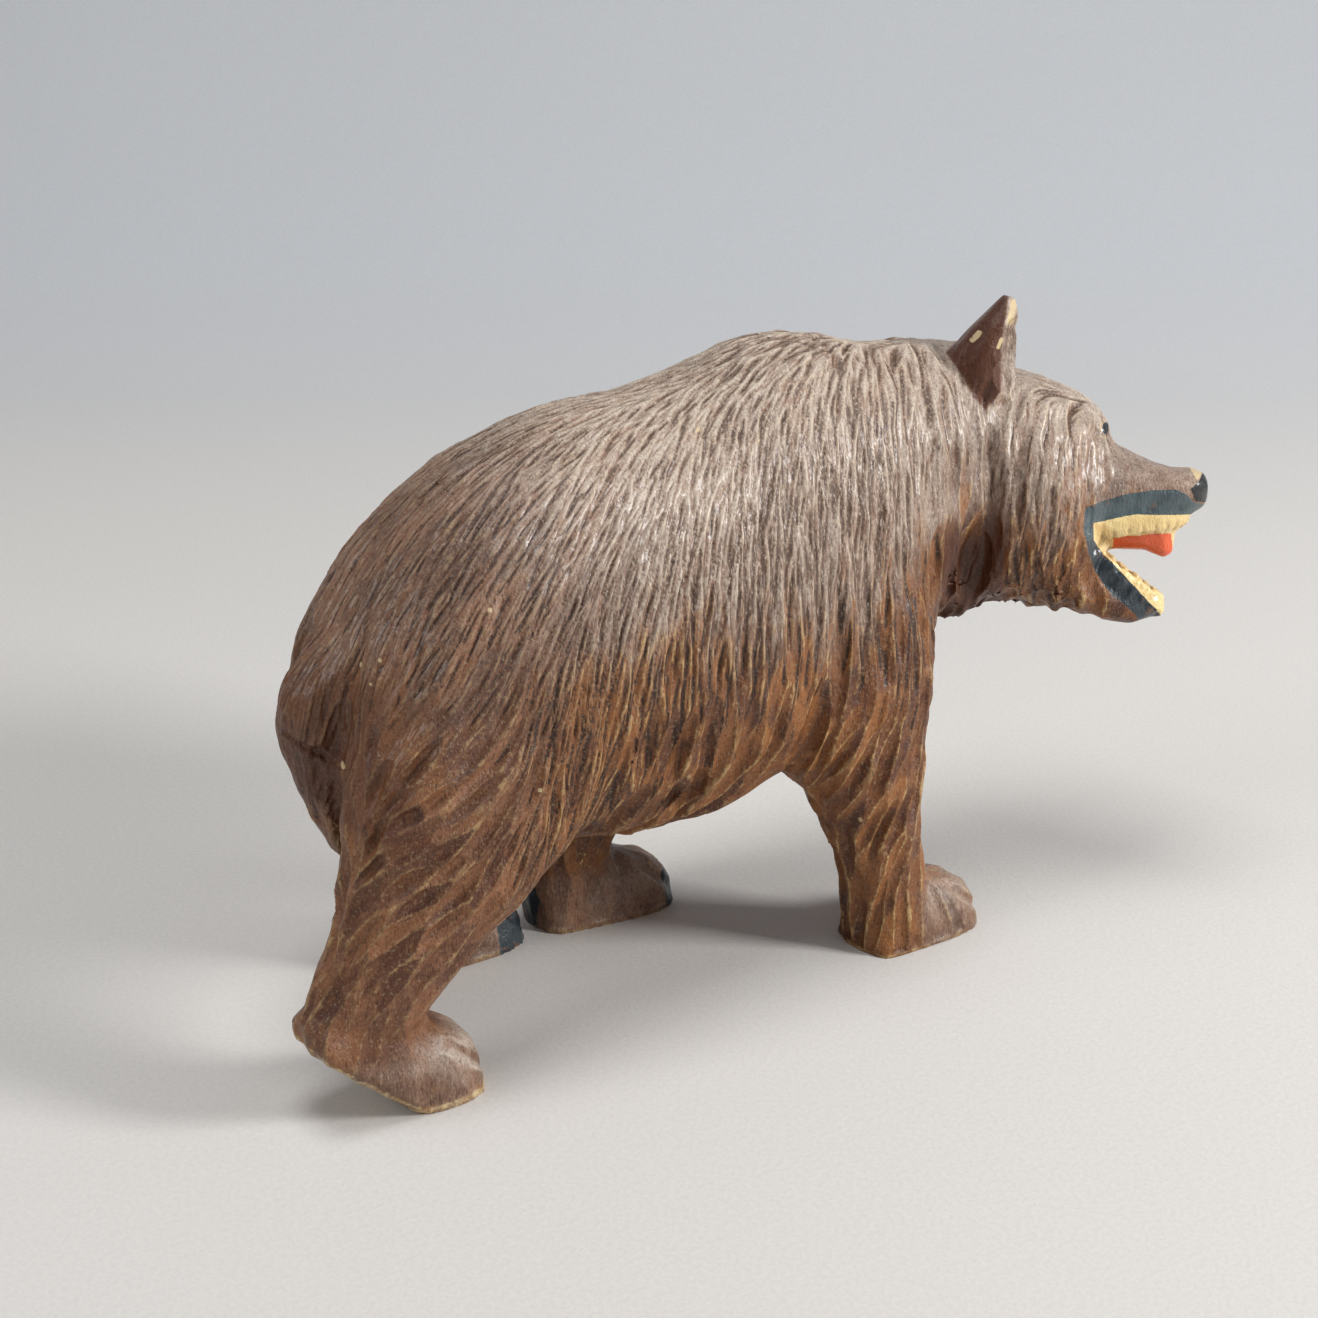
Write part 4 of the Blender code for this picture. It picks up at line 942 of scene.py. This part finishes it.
class OBJECT_OT_bear(bpy.types.Operator):
    """The bear: the solid's form in a fine skin, with its coat cut into it, parted into pieces"""

    bl_idname = "object.bear"
    bl_label = "Carved bear"

    def execute(self, context):
        coat = context.scene.bear_coat
        select_only(frame["nodes"]["bear"])
        bpy.ops.object.duplicate()
        bear = context.view_layer.objects.active
        bear.name = "carved_bear"
        bear.parent = None
        del bear["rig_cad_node"], bear["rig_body"]
        bpy.ops.object.mode_set(mode="EDIT")
        bpy.ops.mesh.select_all(action="SELECT")
        bpy.ops.mesh.remove_doubles(threshold=1e-6)
        bpy.ops.object.mode_set(mode="OBJECT")
        apply_modifier(bear, "REMESH", mode="VOXEL", voxel_size=coat.grain)
        self.carve(bear, coat)
        bear.data.materials.clear()
        bear.data.materials.append(stained_and_painted(context.scene.bear_colours))
        bpy.ops.object.shade_smooth()
        self.part(bear, coat)
        return {"FINISHED"}

    def carve(self, bear, coat):
        """Eases the facets away, cuts the broad gouges, the locks and the fine cuts, and notes the wear and paint."""
        skin = Skin(bear.data)
        low, high = np.array(CAD_BOX) / MM
        skin.settle()
        x = in_frame(HEAD, skin.points)[:, 0]
        keep = np.maximum(fade("head_eased", x), coat.head_easing) * fade("eased_above_floor", skin.points[:, 2])
        keep *= 0.2 + 0.8 * fade("eased_above_paws", skin.points[:, 2])
        skin.ease(coat.easing, 0.5 * keep)
        skin.settle()
        flow = coat_at(skin.points)
        skin.points += skin.normals * (coat.swell * flow[:, 5])[:, None]
        skin.points = np.clip(skin.points, low, high)
        skin.settle()
        depths = (coat.broad_depth, coat.lock_depth, coat.fine_depth)
        open_skin = 0.2 + 0.8 * fade("open_skin", skin.crest(WIDE_ROUNDS))
        flow[:, 3:][:, 2::3] *= (open_skin * fade("cut_above_floor", skin.points[:, 2]))[:, None]
        grooves = np.zeros(skin.count)
        tones = []
        for kind, ((along, across, tries, profile, gathered), share) in enumerate(zip(CUT_KINDS, depths)):
            way, sizes = along_skin(flow[:, :3], skin.normals), flow[:, 3 + 3 * kind:6 + 3 * kind]
            starts = scattered(skin, way, sizes, along, across, tries, coat.seed + kind)
            marks = marks_of(skin, way, sizes, starts, coat.seed + kind)
            reached = np.flatnonzero(sizes[:, 2] > 0.5 * SHALLOWEST)
            cut, middle, tone = cut_by(skin, marks, reached, profile)
            tones.append(tone)
            skin.points -= skin.normals * (share * cut)[:, None]
            skin.settle()
            grooves = np.maximum(grooves, gathered * middle)
        cut = cut_by(skin, single_marks(skin), np.arange(skin.count), SINGLE_PROFILE)[0]
        skin.points -= skin.normals * cut[:, None]
        skin.settle()
        for name, values in worn_and_painted(skin, grooves, *tones[:2]).items():
            layer = bear.data.attributes.new(name, "FLOAT_VECTOR", "POINT")
            layer.data.foreach_set("vector", values.astype(np.float32).ravel())

    def part(self, bear, coat):
        """Parts the skin into closed pieces, none with too many triangles."""
        bear.vertex_groups.new(name="seam")
        tilt = math.radians(NECK_AT[1])
        neck = HEAD.to_3x3() @ Vector((math.cos(tilt), 0, math.sin(tilt)))
        pieces = {"bear_head": parted(bear, HEAD @ Vector((NECK_AT[0], 0, 0)) * MM, neck)}
        rest = bear
        for name, x in zip(("bear_rump", "bear_flank", "bear_belly"), PARTED_AT):
            front = parted(rest, Vector((x, 0, 0)) * MM, Vector((1, 0, 0)))
            pieces[name], rest = rest, front
        pieces["bear_shoulders"] = rest
        for name, piece in pieces.items():
            piece.name = name
            triangles = sum(len(face.vertices) - 2 for face in piece.data.polygons)
            if triangles > coat.most_triangles:
                apply_modifier(piece, "DECIMATE", ratio=coat.most_triangles / triangles, vertex_group="seam",
                               invert_vertex_group=True)
            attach(piece, "root")
            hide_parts("bear")


class OBJECT_OT_bear_stage(bpy.types.Operator):
    """Floor and backdrop in one sweep of paper, soft lights and the camera"""

    bl_idname = "object.bear_stage"
    bl_label = "Stage"

    def execute(self, context):
        stage = context.scene.bear_stage
        a, e = math.radians(stage.azimuth), math.radians(stage.elevation)
        back = Vector((math.sin(a) * math.cos(e), -math.cos(a) * math.cos(e), math.sin(e)))
        target = Vector(LOOK_AT) * MM
        bpy.ops.object.camera_add(location=target + back * stage.distance)
        camera = context.object
        camera.rotation_euler = (-back).to_track_quat("-Z", "Y").to_euler()
        camera.data.lens = stage.lens
        camera.data.sensor_width = 36
        context.scene.camera = camera
        context.scene.view_settings.view_transform = "Standard"
        self.paper(context, stage)
        self.lights(context, stage)
        return {"FINISHED"}

    def paper(self, context, stage):
        """The sweep: flat under the bear, bent up behind it as the camera sees it."""
        bpy.ops.mesh.primitive_plane_add(size=1)
        sweep = context.object
        sweep.name = "paper_sweep"
        bm = bmesh.new()
        bend, radius, half = SWEEP["bend"], SWEEP["radius"], SWEEP["half_width"]
        profile = [(SWEEP["front"], 0.0), (bend, 0.0)]
        for k in range(1, SWEEP["steps"] + 1):
            turn = math.radians(90 * k / SWEEP["steps"])
            profile.append((bend + radius * math.sin(turn), radius * (1 - math.cos(turn))))
        profile.append((bend + radius, SWEEP["top"]))
        rows = [[bm.verts.new((x, y, z)) for x in (-half, half)] for y, z in profile]
        for low, high in zip(rows, rows[1:]):
            bm.faces.new((low[0], low[1], high[1], high[0]))
        bm.normal_update()
        bm.to_mesh(sweep.data)
        bm.free()
        sweep.data.transform(Matrix.Rotation(math.radians(stage.azimuth), 4, "Z"))
        select_only(sweep)
        bpy.ops.object.shade_smooth()
        n = Nodes("paper")
        where = n.out("TexCoord", "Object")
        turned = n.out("Mapping", 0, Vector=where, Rotation=(0, 0, -math.radians(stage.azimuth)))
        depth = n.out("SeparateXYZ", 1, Vector=turned)
        fibre, cloud = n.noise(where, 900, 3, 0.6), n.noise(where, 3, 2, 0.5)
        tint = n.laid(
            stage.floor,
            (n.step(depth, 0.25, 0.62), stage.backdrop),
            (n.step(fibre, 0.35, 0.7) * 0.16, (0.42, 0.41, 0.40)),
            (n.step(cloud, 0.3, 0.7) * 0.05, (0.40, 0.41, 0.43)))
        bump = n.out("Bump", 0, Strength=0.25, Distance=0.0003, Height=fibre)
        shader = n.add("BsdfPrincipled", Base_Color=tint, Roughness=0.85, Normal=bump)
        n.add("OutputMaterial", _0=Wire(n, shader.outputs[0]))
        sweep.data.materials.append(n.material)

    def lights(self, context, stage):
        """The soft boxes, turned with the camera, and a pale room around them."""
        turn = Matrix.Rotation(math.radians(stage.azimuth), 4, "Z")
        for name, spot, size, power in SOFT_BOXES:
            place_at = turn @ Vector(spot)
            bpy.ops.object.light_add(type="AREA", location=place_at)
            light = context.object
            light.name = name
            light.data.shape = "SQUARE"
            light.data.size = size
            light.data.energy = power
            light.rotation_euler = (Vector(LIT_AT) - place_at).to_track_quat("-Z", "Y").to_euler()
        world = bpy.data.worlds.new("room")
        context.scene.world = world
        world.use_nodes = True
        background = world.node_tree.nodes["Background"]
        background.inputs["Color"].default_value = (*ROOM_COLOUR, 1)
        background.inputs["Strength"].default_value = ROOM_STRENGTH


class VIEW3D_PT_bear(bpy.types.Panel):
    """Everything that dresses the bear"""

    bl_label = "Carved bear"
    bl_idname = "VIEW3D_PT_bear"
    bl_space_type = "VIEW_3D"
    bl_region_type = "UI"
    bl_category = "Bear"

    def draw(self, context):
        for group in (context.scene.bear_coat, context.scene.bear_colours, context.scene.bear_stage):
            for name in group.__annotations__:
                self.layout.prop(group, name)
        for operator in (OBJECT_OT_bear, OBJECT_OT_bear_stage):
            self.layout.operator(operator.bl_idname)


CLASSES = (BearCoat, BearColours, BearStage, OBJECT_OT_bear, OBJECT_OT_bear_stage, VIEW3D_PT_bear)


def register():
    for item in CLASSES:
        bpy.utils.register_class(item)
    bpy.types.Scene.bear_coat = bpy.props.PointerProperty(type=BearCoat)
    bpy.types.Scene.bear_colours = bpy.props.PointerProperty(type=BearColours)
    bpy.types.Scene.bear_stage = bpy.props.PointerProperty(type=BearStage)


def unregister():
    del bpy.types.Scene.bear_coat, bpy.types.Scene.bear_colours, bpy.types.Scene.bear_stage
    for item in reversed(CLASSES):
        bpy.utils.unregister_class(item)


def main():
    register()
    bpy.ops.object.bear()
    bpy.ops.object.bear_stage()


if __name__ == "__main__":
    main()
